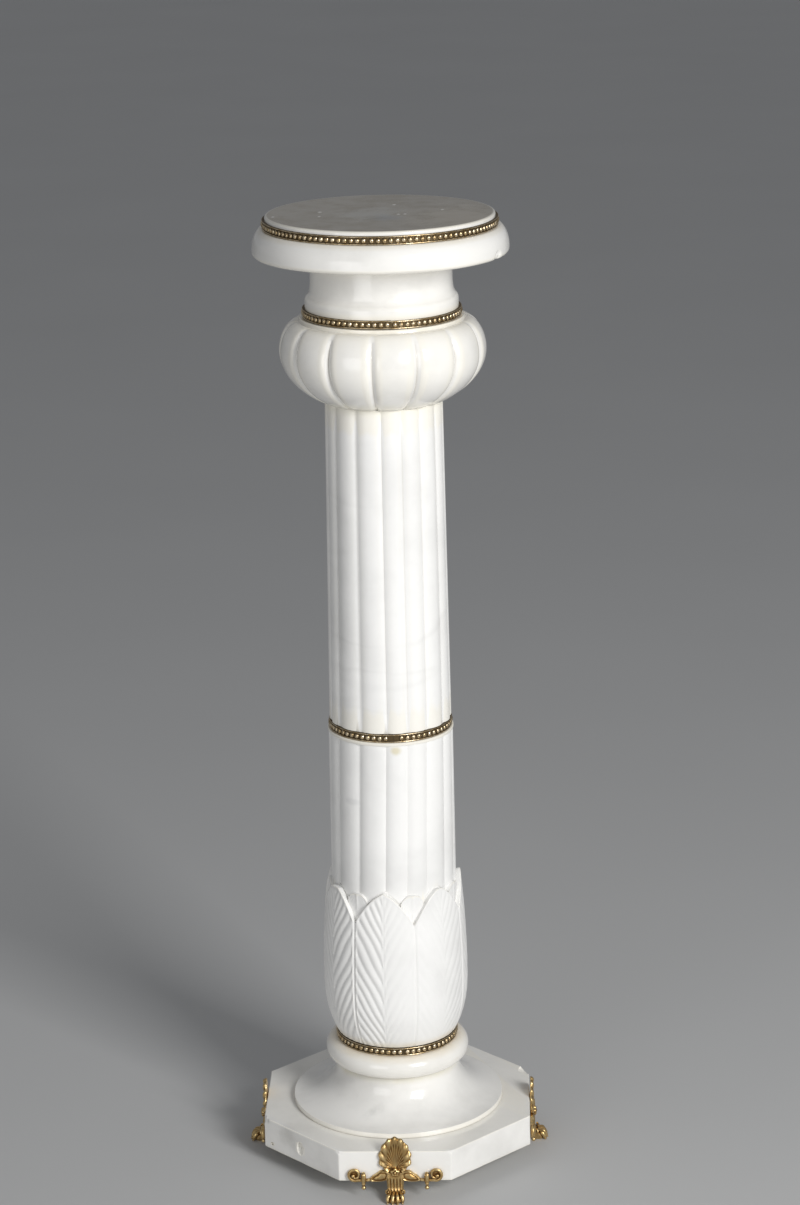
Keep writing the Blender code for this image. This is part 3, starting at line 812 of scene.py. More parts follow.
@dataclass
class Reeds:
    """The upright reeds that both lengths of the shaft share.

    Attributes:
        count: number of reeds.
        start: bearing of the first groove if they were even.
        depth: depth of the grooves.
        per_reed: columns on each reed.
        wander: how they stray, being spaced by eye: degrees, waves round the shaft and phase.
        wander_start: bearing that the waves are counted from.
    """

    count: int = 16
    start: float = -5.4
    depth: float = 2.4 * MM
    per_reed: int = 20
    wander: tuple[tuple[float, float, float], ...] = ((2.6, 2.0, -0.717), (2.55, 4.0, 0.623))
    wander_start: float = 5.0

    def groove(self, index: int) -> float:
        """Bearing of a groove."""
        even = 360.0 / self.count * index
        turn = math.radians(even - self.wander_start)
        strays = [size * math.cos(waves * turn + phase) for size, waves, phase in self.wander]
        return even + self.start + sum(strays)

    def ring(self, crown: float, height: Callable[[float], float], twist: float = 0.0) -> Ring:
        """Ring through the reeds.

        Args:
            crown: radius on the crown of a reed.
            height: height at a bearing.
            twist: how far the grooves have strayed sideways here, in degrees.

        Returns:
            The ring, its columns gathered towards the grooves.
        """

        def point(bearing: float) -> Vector:
            """Point on a reed."""
            index, share = divmod(bearing * self.count / 360.0, 1.0)
            gathered = gather(share, 0.5)
            place = mix(self.groove(int(index)), self.groove(int(index) + 1), gathered) + twist
            across = abs(2.0 * gathered - 1.0)
            return polar(crown - self.depth * across**2.4, place, height(place))

        return point

    def columns(self) -> int:
        """Columns round the whole shaft."""
        return self.count * self.per_reed


@dataclass
class UpperShaft:
    """Upper length of the shaft.

    Attributes:
        reeds: its reeds.
        foot_radius: crown radius above the ring.
        top_radius: crown radius under the capital.
        tenon: radius behind the ring.
        tenon_height: height of the plain band behind the ring.
        rows: number of stretches along the reeds.
    """

    reeds: Reeds
    foot_radius: float = 67.4 * MM
    top_radius: float = 63.5 * MM
    tenon: float = 64.7 * MM
    tenon_height: float = 9.8 * MM
    rows: int = 24

    def build(self) -> list[Object]:
        """Carves the reeds and dresses the shaft."""
        low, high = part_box("upper_shaft")
        start = low.z + self.tenon_height
        rings = [level(0.0, low.z), level(self.tenon, low.z), level(self.tenon, start - 0.4 * MM)]
        for k in range(self.rows + 1):
            height = mix(start, high.z, k / self.rows)
            crown = mix(self.foot_radius, self.top_radius, k / self.rows)
            rings.append(self.reeds.ring(crown, lambda bearing, height=height: height))
        rings.append(level(0.0, high.z))
        bm = spun(rings, self.reeds.columns())
        mark_hollows(bm, 2.2)
        marks = (StainAndShadeBand(high.z, 12 * MM, "E3DBB4", 0.65), StainAndShadeBand(start, 5 * MM, "EDE6D4", 0.3))
        return [add_piece("reeded_upper_shaft", bm, HONED_MARBLE.material(marks), "upper_shaft")]


@dataclass
class LowerShaft:
    """Lower length of the shaft with the cup of carved leaves round its foot.

    Attributes:
        reeds: the reeds above the leaves.
        leaves: number of front leaves.
        start: bearing of the middle of a front leaf.
        leaf_height: height of a tip above the underside.
        notch_drop: how far the notch between two leaves lies below the tips.
        back_drop: how far the small leaves behind end below the tips.
        back_fall: how far their tops fall away.
        back_half: half-width of a small leaf in degrees.
        back_proud: how far the small leaves stand off the shaft.
        ring_height: height of the plain band behind the ring.
        swell: height from the cup's foot to its widest line.
        cup_low_radius: radius at the foot of the cup.
        cup_radius: widest radius.
        tip_radius: radius at the tips.
        vein_gap: height between two veins of a leaf.
        vein_climb: how far a vein climbs from the midrib to the edge.
        vein_depth: depth of the cuts between the veins.
        worn_side: bearing of the side where the carving is worn faint.
        worn_left: share of the carving that is left there.
        foot_radius: crown radius of the shaft behind the leaves.
        top_radius: crown radius under the lip.
        stray: how far the reeds stray sideways at the leaves and at the lip, in degrees.
        lip_radius: radius of the plain lip at the joint.
        lip_height: its height.
        tenon: radius behind the ring.
        blunt: how much is worn off each leaf's tip, in millimetres, from the middle one round.
        columns: number of columns.
        leaf_rows: number of stretches up a front leaf.
    """

    reeds: Reeds
    leaves: int = 7
    start: float = -7.4
    leaf_height: float = 196.4 * MM
    notch_drop: float = 38.0 * MM
    back_drop: float = 4.8 * MM
    back_fall: float = 15.5 * MM
    back_half: float = 12.8
    back_proud: float = 2.2 * MM
    ring_height: float = 10.5 * MM
    swell: float = 67.2 * MM
    cup_low_radius: float = 68.0 * MM
    cup_radius: float = 81.3 * MM
    tip_radius: float = 74.8 * MM
    vein_gap: float = 19.0 * MM
    vein_climb: float = 66.0 * MM
    vein_depth: float = 1.5 * MM
    worn_side: float = 50.0
    worn_left: float = 0.32
    foot_radius: float = 69.8 * MM
    top_radius: float = 68.8 * MM
    stray: tuple[float, float] = (-4.6, -1.2)
    lip_radius: float = 69.5 * MM
    lip_height: float = 3.7 * MM
    tenon: float = 65.2 * MM
    blunt: tuple[float, ...] = (0.3, 1.8, 0.6, 1.2, 0.5, 1.4, 3.6)
    columns: int = 448
    leaf_rows: int = 96

    def __post_init__(self) -> None:
        """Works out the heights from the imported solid."""
        low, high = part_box("lower_shaft")
        self.bottom, self.top = low.z, high.z
        self.lip = self.top - self.lip_height
        self.cup_low = low.z + self.ring_height
        self.widest = self.cup_low + self.swell
        self.tip = low.z + self.leaf_height

    def side(self, bearing: float) -> float:
        """Place across a leaf: 0 on the midrib, 1 at its boundary."""
        spacing = 360.0 / self.leaves
        return abs((bearing - self.start + spacing / 2.0) % spacing - spacing / 2.0) / (spacing / 2.0)

    def front_top(self, bearing: float) -> float:
        """Height of the edge of the front leaves."""
        side = self.side(bearing)
        leaf = round((bearing - self.start) * self.leaves / 360.0) % self.leaves
        pointed = self.tip - self.notch_drop * (side - 0.16 * math.sin(math.pi * side))
        return min(pointed, self.tip - self.blunt[leaf] * MM * (1.0 + 0.5 * side))

    def back_top(self, bearing: float) -> float:
        """Height of the edge of the small leaves behind, or just above the front ones."""
        beside = 180.0 / self.leaves * (1.0 - self.side(bearing))
        arch = self.tip - self.back_drop - self.back_fall * (beside / self.back_half) ** 3
        return max(arch, self.front_top(bearing) + 1.2 * MM)

    def cup(self, height: float) -> float:
        """Radius of the uncarved cup at a height."""
        if height > self.widest:
            share = (height - self.widest) / (self.tip - self.widest)
            return self.cup_radius - (self.cup_radius - self.tip_radius) * share**1.9
        share = (self.widest - height) / (self.widest - self.cup_low)
        return self.cup_radius - (self.cup_radius - self.cup_low_radius) * share**2.6

    def carving(self, bearing: float, height: float, edge: float) -> float:
        """Depth of the carving of a front leaf.

        Args:
            bearing: bearing of the point.
            height: its height.
            edge: height of the leaf's edge there.

        Returns:
            How far the surface lies below the uncarved cup.
        """
        side = self.side(bearing)
        away = abs((bearing - self.worn_side + 180.0) % 360.0 - 180.0)
        left = mix(self.worn_left, 1.0, ease((away - 50.0) / 12.0))
        half = math.pi / self.leaves * self.cup(height)
        from_edge = min((1.0 - side) * half, edge - height)
        from_rib = side * half
        boundary = 1.9 * MM * max(0.0, 1.0 - (1.0 - side) * half / (2.6 * MM)) ** 1.4
        rib = 0.7 * MM * math.exp(-((from_rib / (1.0 * MM)) ** 2))
        climb = self.vein_climb * side**0.9
        sway = 0.2 * math.sin((height - climb) / (23 * MM)) + 0.07 * math.sin(height / (9 * MM))
        phase = ((height - self.cup_low - climb) / self.vein_gap + sway) % 1.0
        cut = self.vein_depth * abs(2.0 * phase - 1.0) ** 1.8
        field = ease((from_edge - 1.8 * MM) / (2.4 * MM)) * ease((from_rib - 0.6 * MM) / (2.0 * MM))
        near_foot = ease((height - self.cup_low) / (12 * MM))
        return boundary * mix(0.4, 1.0, left) + (rib + cut * field) * left * mix(0.4, 1.0, near_foot)

    def front_ring(self, share: float, sunk: float = 0.0, raised: float = 0.0) -> Ring:
        """Ring over the front leaves.

        Args:
            share: share of the leaves' height.
            sunk: how far the ring lies below their surface.
            raised: how far it is lifted.

        Returns:
            The ring.
        """

        def point(bearing: float) -> Vector:
            """Point on a front leaf."""
            place = self.start + bearing
            edge = self.front_top(place)
            height = mix(self.cup_low, edge, share)
            radius = self.cup(height) - self.carving(place, height, edge) - sunk
            return polar(radius, place, height + raised)

        return point

    def back_ring(self, share: float, sunk: float = 0.0) -> Ring:
        """Ring over the small leaves.

        Args:
            share: share of the height that shows.
            sunk: how far the ring lies below their surface.

        Returns:
            The ring.
        """

        def point(bearing: float) -> Vector:
            """Point on a small leaf, or on the bare shaft between two."""
            place = self.start + bearing
            low, high = self.front_top(place) - 0.8 * MM, self.back_top(place)
            height = mix(low, high, share)
            beside = (1.0 - self.side(place)) * math.pi / self.leaves * self.foot_radius
            stands = ease((high - low - 1.8 * MM) / (3 * MM))
            phase = (height - 1.6 * (8 * MM - beside)) / (5.5 * MM) % 1.0
            cut = 0.6 * MM * abs(2.0 * phase - 1.0) ** 2.0 * ease((1.0 - share) * 4.0)
            cut -= 0.6 * MM * math.exp(-((beside / (1.1 * MM)) ** 2))
            proud = (self.back_proud - cut - sunk) * stands
            return polar(self.foot_radius - 1.2 * MM * (1.0 - stands) + proud, place, height)

        return point

    def shaft_ring(self, share: float) -> Ring:
        """Ring over the reeds at a share of the height between the leaves and the lip."""
        crown = mix(self.foot_radius, self.top_radius, share)
        twist = mix(*self.stray, share)
        return self.reeds.ring(
            crown, lambda place: mix(self.back_top(place) + 0.3 * MM, self.lip, share), twist
        )

    def build(self) -> list[Object]:
        """Carves cup, leaves and reeds in one and dresses the shaft."""
        radius = self.lip_radius
        rings = [level(0.0, self.bottom), level(self.tenon, self.bottom)]
        rings.append(level(self.tenon, self.cup_low - FIT))
        rings += [self.front_ring(k / self.leaf_rows) for k in range(self.leaf_rows)]
        rings += [self.front_ring(1.0, 0.0, -0.7 * MM), self.front_ring(1.0, 0.25 * MM, -0.15 * MM)]
        rings += [self.front_ring(1.0, 0.8 * MM), self.front_ring(1.0, 2.2 * MM, -0.1 * MM)]
        rings += [self.back_ring(k / 14.0) for k in range(15)]
        rings += [self.back_ring(1.0, 0.7 * MM)]
        rings += [self.shaft_ring(k / 16.0) for k in range(17)]
        rings += [level(radius - 0.3 * MM, self.lip + 0.2 * MM), level(radius, self.lip + 0.7 * MM)]
        rings += [level(radius, self.top - 0.6 * MM), level(radius - 0.6 * MM, self.top)]
        rings += [level(0.06, self.top), level(0.0, self.top)]
        bm = spun(rings, self.columns)
        mark_hollows(bm, 0.7)
        marks = (
            StainAndShadeBand(self.top, 5 * MM, "EBDFC0", 0.7),
            StainAndShadeBand(self.cup_low, 10 * MM, "E0CDA4", 0.5),
            SmudgeAndLightPatch((0.007, -0.069, self.top - 0.009), (0.009, 0.02, 0.007), "DDD2AC", 0.7),
            SmudgeAndLightPatch((-0.041, -0.056, self.cup_low + 0.287), (0.012, 0.02, 0.005), "D2D2D1", 0.35),
        )
        finish = HONED_MARBLE.material(marks, 2.2)
        return [add_piece("carved_lower_shaft", bm, finish, "lower_shaft")]


@dataclass
class BeadRing:
    """Beaded strip bent round the column, its two ends meeting in a butt joint.

    Attributes:
        name: name of the piece.
        node: the solid that it stands for.
        radius: radius over the beads.
        joint: bearing where the ends meet.
        bare: length left without beads at the joint.
        climb: how much higher one end lies than the other.
        thickness: of the strip, over the beads.
        channel: how far the channel's floor lies below the beads' tops.
        rim: how far the flanges do.
        flange: width of a flange.
        slit: gap between the two ends.
        pitch: distance between two beads.
        bead: radius of a bead.
        columns: number of columns.
    """

    name: str
    node: str
    radius: float
    joint: float
    bare: float = 1.5 * MM
    climb: float = 0.0
    thickness: float = 3.8 * MM
    channel: float = 2.3 * MM
    rim: float = 1.0 * MM
    flange: float = 1.4 * MM
    slit: float = 0.25 * MM
    pitch: float = 6.6 * MM
    bead: float = 3.0 * MM
    columns: int = 180

    def strip(self, bottom: float, top: float) -> BMesh:
        """Bends the strip: a channel between two rolled flanges.

        Args:
            bottom: height of its lower edge.
            top: height of its upper edge.

        Returns:
            The mesh.
        """
        inner = self.radius - self.thickness
        floor = self.radius - self.channel
        half = self.flange / 2.0
        centre = self.radius - self.rim - half
        profile = [(inner, top)]
        profile += arc((centre, top - half), (half, half), 90, -60, 5)
        profile += [(floor, top - self.flange - 0.2 * MM), (floor, bottom + self.flange + 0.2 * MM)]
        profile += arc((centre, bottom + half), (half, half), 60, -90, 5)
        profile += [(inner, bottom)]
        bm = bmesh.new()
        face = bm.faces.new([bm.verts.new(polar(reach, 0.0, height)) for reach, height in profile])
        turn = math.tau - self.slit / self.radius
        bmesh.ops.spin(bm, geom=[face], axis=(0.0, 0.0, 1.0), angle=turn, steps=self.columns, use_merge=False)
        bmesh.ops.recalc_face_normals(bm, faces=bm.faces)
        return bm

    def build(self) -> list[Object]:
        """Bends the strip, sets its beads and dresses it."""
        low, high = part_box(self.node)
        middle = (low.z + high.z) / 2.0
        half = (high.z - low.z - abs(self.climb)) / 2.0
        bm = self.strip(middle - half, middle + half)
        centre = self.radius - self.bead
        run = math.tau * centre - self.bare
        count = int(run / self.pitch)
        oval = Matrix.Diagonal((1.0, 1.0, 1.07, 1.0))
        for k in range(count):
            bearing = math.degrees((self.bare / 2.0 + (k + 0.5) * run / count) / centre)
            place = Matrix.Translation(polar(centre, bearing, middle)) @ oval
            bmesh.ops.create_icosphere(bm, subdivisions=2, radius=self.bead, matrix=place)
        layer = bm.verts.layers.float.new(HOLLOW)
        for vert in bm.verts:
            proud = Vector((vert.co.x, vert.co.y)).length - (self.radius - self.channel)
            vert[layer] = 1.0 - ease(proud / (1.7 * MM))
            vert.co.z += self.climb * (bearing_of(vert.co) / 360.0 - 0.5)
        bmesh.ops.rotate(bm, verts=bm.verts, matrix=Matrix.Rotation(math.radians(self.joint), 3, "Z"))
        return [add_piece(self.name, bm, AGED_GILT_BRASS.material(), self.node, 50.0)]


@dataclass
class TurnedBase:
    """Turned base: rounded collar, hollow sweep and a thin edge on the plinth.

    Attributes:
        rim_radius: radius of the thin edge.
        rim_height: its height.
        rim_round: its round.
        sweep_height: height of the hollow sweep.
        waist_radius: radius at the waist.
        collar_centre: radius of the centre of the collar's round.
        collar_rise: height of that centre above the waist.
        collar_bulge: radius of the round.
        columns: number of columns.
    """

    rim_radius: float = 119.2 * MM
    rim_height: float = 5.7 * MM
    rim_round: float = 0.7 * MM
    sweep_height: float = 39.5 * MM
    waist_radius: float = 69.3 * MM
    collar_centre: float = 68.0 * MM
    collar_rise: float = 18.0 * MM
    collar_bulge: float = 13.0 * MM
    columns: int = 224

    def build(self) -> list[Object]:
        """Turns the base, rubs its thin edge and dresses it."""
        low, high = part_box("turned_base")
        rim_top = low.z + self.rim_height
        waist = rim_top + self.sweep_height
        rim = self.rim_radius - self.rim_round
        collar = (self.collar_centre, waist + self.collar_rise)
        profile = [(0.0, high.z), (0.06, high.z)]
        profile += arc(collar, (self.collar_bulge, self.collar_bulge), 90, -84, 20)
        profile += arc((rim, waist), (rim - self.waist_radius, self.sweep_height), 180, 270, 22)
        profile += arc((rim, rim_top - self.rim_round), (self.rim_round, self.rim_round), 80, 0, 3)
        profile += [(self.rim_radius, low.z + 0.4 * MM), (self.rim_radius - 0.4 * MM, low.z), (0.0, low.z)]
        bm = turned(profile, self.columns)
        for vert in bm.verts:
            if vert.co.z < rim_top + 1 * MM and Vector((vert.co.x, vert.co.y)).length > 0.1:
                vert.co += inward(vert.co) * (0.5 * MM * max(0.0, noise.noise(vert.co * 40.0)))
        mark_hollows(bm, 1.5)
        marks = (
            StainAndShadeBand(high.z + 1 * MM, 9 * MM, "E6CFA0", 0.55),
            StainAndShadeBand(waist + 3 * MM, 9 * MM, "DFD8BC", 0.5),
            StainAndShadeBand(low.z, 8 * MM, "E9E6DC", 0.4),
            # Dark grey-brown line along the rim's foot, where it meets the plinth
            StainAndShadeBand(low.z - 0.2 * MM, 2.8 * MM, "6E6452", 0.9, 0.7),
            SmudgeAndLightPatch((-0.035, -0.09, waist - 0.024), (0.03, 0.02, 0.012), "C4C4BE", 0.6),
            SmudgeAndLightPatch((0.03, -0.085, waist - 0.02), (0.02, 0.02, 0.01), "CFCFC8", 0.5),
        )
        finish = POLISHED_MARBLE.material(marks, 2.9)
        return [add_piece("polished_base", bm, finish, "turned_base")]


@dataclass
class Plinth:
    """Eight-sided plinth, its edges rubbed and chipped.

    Attributes:
        across: width across two flats.
        edge: round of its edges.
        cuts: number of cuts along each long edge, which gives the wear its vertices.
        dents: dents of the top edge: bearing, reach and depth in millimetres.
        chips: deeper flakes: name, place as a share of the width, bearing, share of the height, half-sizes
            in millimetres.
    """

    across: float = 300.0 * MM
    edge: float = 1.1 * MM
    cuts: int = 30
    dents: tuple[tuple[float, float, float], ...] = (
        (-67.5, 9.0, 2.4), (22.5, 4.0, 0.8), (-22.5, 5.0, 0.8),
        (112.5, 10.0, 2.6), (151.0, 8.0, 2.0), (163.0, 9.0, 2.4),
    )
    chips: tuple[tuple[str, float, float, float, tuple[float, float, float]], ...] = (
        ("gouge", 0.5115, -45.5, 0.49, (6.0, 7.5, 9.5)),
        ("lost_corner", 0.5467, 157.5, 1.0, (11.0, 11.0, 6.0)),
        ("worn_corner", 0.5433, 112.5, 1.0, (13.0, 13.0, 4.5)),
        ("pit", 0.5235, -63.3, 0.2, (2.6, 2.6, 2.2)),
    )

    def build(self) -> list[Object]:
        """Cuts the block, rounds its edges, breaks out the chips and dresses it."""
        low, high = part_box("plinth")
        thick = high.z - low.z
        bm = bmesh.new()
        radius = self.across / 2.0 / math.cos(math.pi / 8.0)
        bmesh.ops.create_cone(bm, cap_ends=True, segments=8, radius1=radius, radius2=radius, depth=thick)
        bmesh.ops.rotate(bm, verts=bm.verts, matrix=Matrix.Rotation(math.pi / 8.0, 3, "Z"))
        bmesh.ops.translate(bm, verts=bm.verts, vec=(0.0, 0.0, low.z + thick / 2.0))
        rounding = {"affect": "EDGES", "segments": 3, "profile": 0.5, "material": -1}
        bmesh.ops.bevel(bm, geom=bm.edges[:], offset=self.edge, offset_type="OFFSET", **rounding)
        long_edges = [edge for edge in bm.edges if edge.calc_length() > 20 * MM]
        bmesh.ops.subdivide_edges(bm, edges=long_edges, cuts=self.cuts, use_grid_fill=True)
        for vert in bm.verts:
            worn = noise.noise(vert.co * 60.0) + 0.5 * noise.noise(vert.co * 170.0)
            to_middle = Vector((-vert.co.x, -vert.co.y, (low.z + high.z) * 0.5 - vert.co.z)).normalized()
            vert.co += to_middle * (0.35 * MM * max(0.0, worn))
        for bearing, reach, depth in self.dents:
            dent(bm, polar(radius - 0.5 * MM, bearing, high.z), reach * MM, depth * MM)
        mark_hollows(bm, 1.0)
        marks = (
            StainAndShadeBand(low.z, 6 * MM, "D8D3C2", 0.35),
            SmudgeAndLightPatch((-0.11, -0.09, high.z - 0.012), (0.05, 0.03, 0.02), "C6C3BC", 0.5),
            SmudgeAndLightPatch((-0.145, 0.0, high.z - 0.016), (0.02, 0.05, 0.02), "CDC0A8", 0.5),
            SmudgeAndLightPatch((0.148, 0.016, high.z), (0.011, 0.014, 0.012), "8F8080", 0.5),
        )
        finish = POLISHED_MARBLE.material(marks, 4.1)
        plinth = add_piece("worn_plinth", bm, finish, "plinth")
        for name, out, bearing, rise, half in self.chips:
            centre = polar(out * self.across, bearing, low.z + rise * thick)
            self.chip(plinth, name, centre, Vector(half) * MM)
        plinth.modifiers.new("even_shade", "WEIGHTED_NORMAL").keep_sharp = True
        return [plinth]

    def chip(self, stone: Object, name: str, centre: Vector, size: Vector) -> None:
        """Breaks a flake out of the stone with a rough pebble.

        Args:
            stone: the piece.
            name: name of the pebble, which isn't rendered.
            centre: its centre.
            size: its half-sizes.
        """
        bm = bmesh.new()
        bmesh.ops.create_icosphere(bm, subdivisions=3, radius=1.0)
        for vert in bm.verts:
            vert.co *= 1.0 + 0.14 * noise.noise(vert.co * 2.3 + centre * 90.0)
        bmesh.ops.scale(bm, verts=bm.verts, vec=size)
        bmesh.ops.translate(bm, verts=bm.verts, vec=centre)
        pebble = add_object(name, bm)
        pebble.hide_render = True
        pebble.hide_viewport = True
        cut = stone.modifiers.new(name, "BOOLEAN")
        cut.operation = "DIFFERENCE"
        cut.solver = "EXACT"
        cut.object = pebble


# Rows of the casting's forms, in the order that their rings take them, with lengths in millimetres
SHELL_ROWS = (
    (0.0, 4.2, 0.0, 0.0), (0.16, 4.0, 0.0, 0.12), (0.3, 3.3, 0.0, 0.25), (0.45, 2.9, 0.0, 0.3),
    (0.56, 2.8, 0.0, 0.3), (0.62, 3.1, 0.3, 0.25), (0.69, 3.7, 0.8, 0.1), (0.77, 4.1, 1.3, 0.0),
    (0.85, 4.2, 1.7, 0.0), (0.91, 3.9, 1.8, 0.0), (0.96, 3.2, 1.6, 0.0), (0.99, 2.4, 1.1, 0.0),
    (1.0, 1.8, 0.5, 0.0), (0.985, 0.95, 0.0, 0.0), (0.0, 0.95, 0.0, 0.0),
)
ROSETTE_ROWS = (
    (0.0, 8.7, 0.0), (0.2, 8.5, 0.0), (0.32, 7.8, 0.0), (0.38, 7.3, 0.06), (0.6, 8.0, 0.12),
    (0.84, 7.6, 0.16), (1.0, 6.4, 0.16), (0.94, 3.4, 0.1), (0.0, 3.4, 0.0),
)
LEAF_ROWS = (
    (0.0, 5.0), (0.25, 4.9), (0.45, 4.5), (0.58, 3.9), (0.64, 3.7), (0.74, 4.4), (0.85, 4.9),
    (0.95, 4.4), (1.0, 3.2), (0.96, 0.6), (0.0, 0.6),
)
# Shares of the leg's half-width, of its reach and of the lift
LEG_ROWS = (
    (0.62, 0.70, 0.0), (0.78, 0.80, 0.04), (0.82, 0.83, 0.14), (0.82, 0.77, 0.28), (0.82, 0.60, 0.4),
    (0.82, 0.42, 0.5), (0.83, 0.32, 0.62), (0.84, 0.28, 0.74), (0.85, 0.27, 0.9), (0.90, 0.28, 1.1),
    (0.96, 0.28, 1.28), (0.84, 0.22, 1.6),
)
# Share of the drop's height, and its radius
DROP_ROWS = (
    (1.0, 0.0), (0.985, 0.9), (0.95, 1.5), (0.91, 1.4), (0.88, 1.9), (0.8, 2.1), (0.6, 2.2), (0.46, 2.0),
    (0.4, 1.6), (0.36, 1.9), (0.32, 1.5), (0.24, 1.2), (0.19, 1.2), (0.16, 1.7), (0.09, 2.0), (0.03, 1.3),
    (0.0, 0.0),
)


@dataclass
class PawFoot:
    """Cast foot: a shell over a paw, with two leafy arms that end in scrolls and drops.

    All sizes are in the casting's own frame: X along the face of the plinth, depth out of it, Z up.
    A side is 1 for the right and -1 for the left.

    Attributes:
        lift: height of the underside of the plinth.
        shell_rise: height of the shell's centre above that.
        shell_half: half-width and half-height of the shell.
        shell_taper: how much narrower the shell is at its top than at its foot.
        knob_turn: angle between two of the eleven knobs on its rim, in degrees.
        rosette_rise: height of the rosette above the underside of the plinth.
        rosette_radius: its radius.
        arm_reach: distance of the scrolls' centres from the middle.
        bar: half-thickness of a scroll's bar.
        scroll_radius: outer radius of a scroll.
        scroll_rise: height of its centre above the underside of the plinth.
        drop_offset: distance of a drop from the middle.
        leg_half_width: half-width of the paw.
        leg_reach: how far the paw stands out.
        flute_gap: distance between two flutes of the leg.
        flute_depth: half their depth.
    """

    lift: float = 20.0 * MM
    shell_rise: float = 32.7 * MM
    shell_half: tuple[float, float] = (18.3 * MM, 21.8 * MM)
    shell_taper: float = 0.16
    knob_turn: float = 30.0
    rosette_rise: float = 13.0 * MM
    rosette_radius: float = 4.9 * MM
    arm_reach: float = 45.5 * MM
    bar: float = 2.05 * MM
    scroll_radius: float = 8.7 * MM
    scroll_rise: float = 8.8 * MM
    drop_offset: float = 35.0 * MM
    leg_half_width: float = 10.8 * MM
    leg_reach: float = 21.5 * MM
    flute_gap: float = 3.5 * MM
    flute_depth: float = 0.34 * MM

    def shell_ring(self, share: float, depth: float, knob: float, rib: float) -> Ring:
        """Ring of the shell: its ribs fan out from the rosette and end in eleven knobs on the rim.

        Args:
            share: place between the rosette and the rim.
            depth: how far it stands out.
            knob: height of the knobs here.
            rib: height of the ribs here.

        Returns:
            The ring.
        """
        centre = self.lift + self.shell_rise
        hub = Vector((0.0, 0.0, self.lift + self.rosette_rise + 3 * MM))

        def point(bearing: float) -> Vector:
            """Point of the shell. The ribs bend, and the low rim lies flat behind the rosette."""
            away = (bearing + 180.0) % 360.0 - 180.0
            turn = math.radians(away)
            lobe = math.cos(math.pi * away / self.knob_turn) ** 2 * ease((170.0 - abs(away)) / 12.0)
            wide = 1.0 - self.shell_taper * math.cos(turn)
            reach = 0.93 + 0.07 * lobe + 0.035 * ease((abs(away) - 100.0) / 20.0)
            x = self.shell_half[0] * reach * wide * math.sin(turn)
            rim = Vector((x, 0.0, centre + self.shell_half[1] * reach * math.cos(turn)))
            bend = 0.15 * math.cos(turn / 2.0) ** 4 - 0.15 * math.sin(turn) ** 2
            spot = hub.lerp(rim, share + bend * math.sin(math.pi * share))
            out = depth + knob * (lobe**0.7 - 0.4) + rib * math.cos(math.tau * 2.0 * away / self.knob_turn)
            out = mix(out, min(out, 2.6), ease((abs(away) - 158.0) / 12.0))
            return Vector((spot.x, -out * MM, spot.z))

        return point

    def rosette_ring(self, share: float, depth: float, petal: float) -> Ring:
        """Ring of the rosette of five petals under the shell.

        Args:
            share: share of its radius.
            depth: how far it stands out.
            petal: how deep the petals are parted here.

        Returns:
            The ring.
        """

        def point(bearing: float) -> Vector:
            """Point of a petal."""
            turn = math.radians(bearing)
            reach = self.rosette_radius * share * (1.0 + petal * math.cos(5.0 * turn))
            height = self.lift + self.rosette_rise + reach * math.cos(turn)
            return Vector((reach * math.sin(turn), -depth * MM, height))

        return point

    def leg_ring(self, width: float, reach: float, rise: float) -> Ring:
        """Ring of the fluted leg, which spreads into the pad of the paw.

        Args:
            width: share of its half-width.
            reach: share of its reach.
            rise: share of the lift.

        Returns:
            The ring.
        """
        far = self.leg_reach * reach

        def point(bearing: float) -> Vector:
            """Point of the leg: a round-cornered box, fluted in front."""
            turn = math.radians(bearing)
            x, y = math.sin(turn), math.cos(turn)
            square = (abs(x) ** 3.0 + abs(y) ** 3.0) ** (-1.0 / 3.0)
            wide = self.leg_half_width * width * x * square
            field = ease(2.0 * y) * ease(6.0 * (rise - 0.42)) * ease(6.0 * (1.35 - rise))
            flute = self.flute_depth * math.cos(math.tau * wide / self.flute_gap) * field
            out = (far + FIT) / 2.0 + (far - FIT) / 2.0 * y * square + flute
            return Vector((wide, -out, self.lift * rise))

        return point

    def leg(self) -> BMesh:
        """Leg in even steps between its rows."""
        rings = []
        for k in range(49):
            rise = 1.6 * k / 48.0
            index = max(j for j, row in enumerate(LEG_ROWS[:-1]) if row[2] <= rise)
            first, second = LEG_ROWS[index], LEG_ROWS[index + 1]
            part = (rise - first[2]) / (second[2] - first[2])
            rings.append(self.leg_ring(mix(first[0], second[0], part), mix(first[1], second[1], part), rise))
        return spun(rings, 96)

    def toe(self, side: float) -> list[BMesh]:
        """Toe with its knuckle and claw.

        Args:
            side: place across the paw, from -1 to 1.

        Returns:
            The forms.
        """
        path = []
        for j in range(17):
            share = j / 16.0
            turn = math.radians(mix(8.0, 96.0, share))
            x = side * mix(5.4, 8.3, ease(share * 1.4))
            out = mix(19.4, 16.8, abs(side)) * (0.42 + 0.58 * math.sin(turn))
            height = 2.3 + 8.2 * math.cos(turn * 0.94)
            thick = 2.5 * MM * math.sin(math.pi * (0.1 + 0.84 * share)) ** 0.45
            thick *= 1.0 + 0.1 * math.cos(2.2 * math.tau * share)
            path.append((Vector((x, -out, height)) * MM, thick * 0.92, thick))
        claw = egg(path[-1][0] + Vector((0.0, -0.9, -0.5)) * MM, Vector((1.1, 1.7, 1.3)) * MM, 20.0)
        return [tube(path, 14), claw]

    def curl(self, side: int) -> BMesh:
        """Curl of leaf beside the ankle."""
        path = []
        for j in range(25):
            share = j / 24.0
            turn = math.radians(400.0 * share)
            reach = mix(2.7, 0.5, share)
            x = side * (8.0 + reach * math.sin(turn))
            height = 10.6 + reach * math.cos(turn)
            path.append((Vector((x, -mix(8.6, 10.2, share), height)) * MM, 1.0 * MM, 1.3 * MM))
        return tube(path, 10)

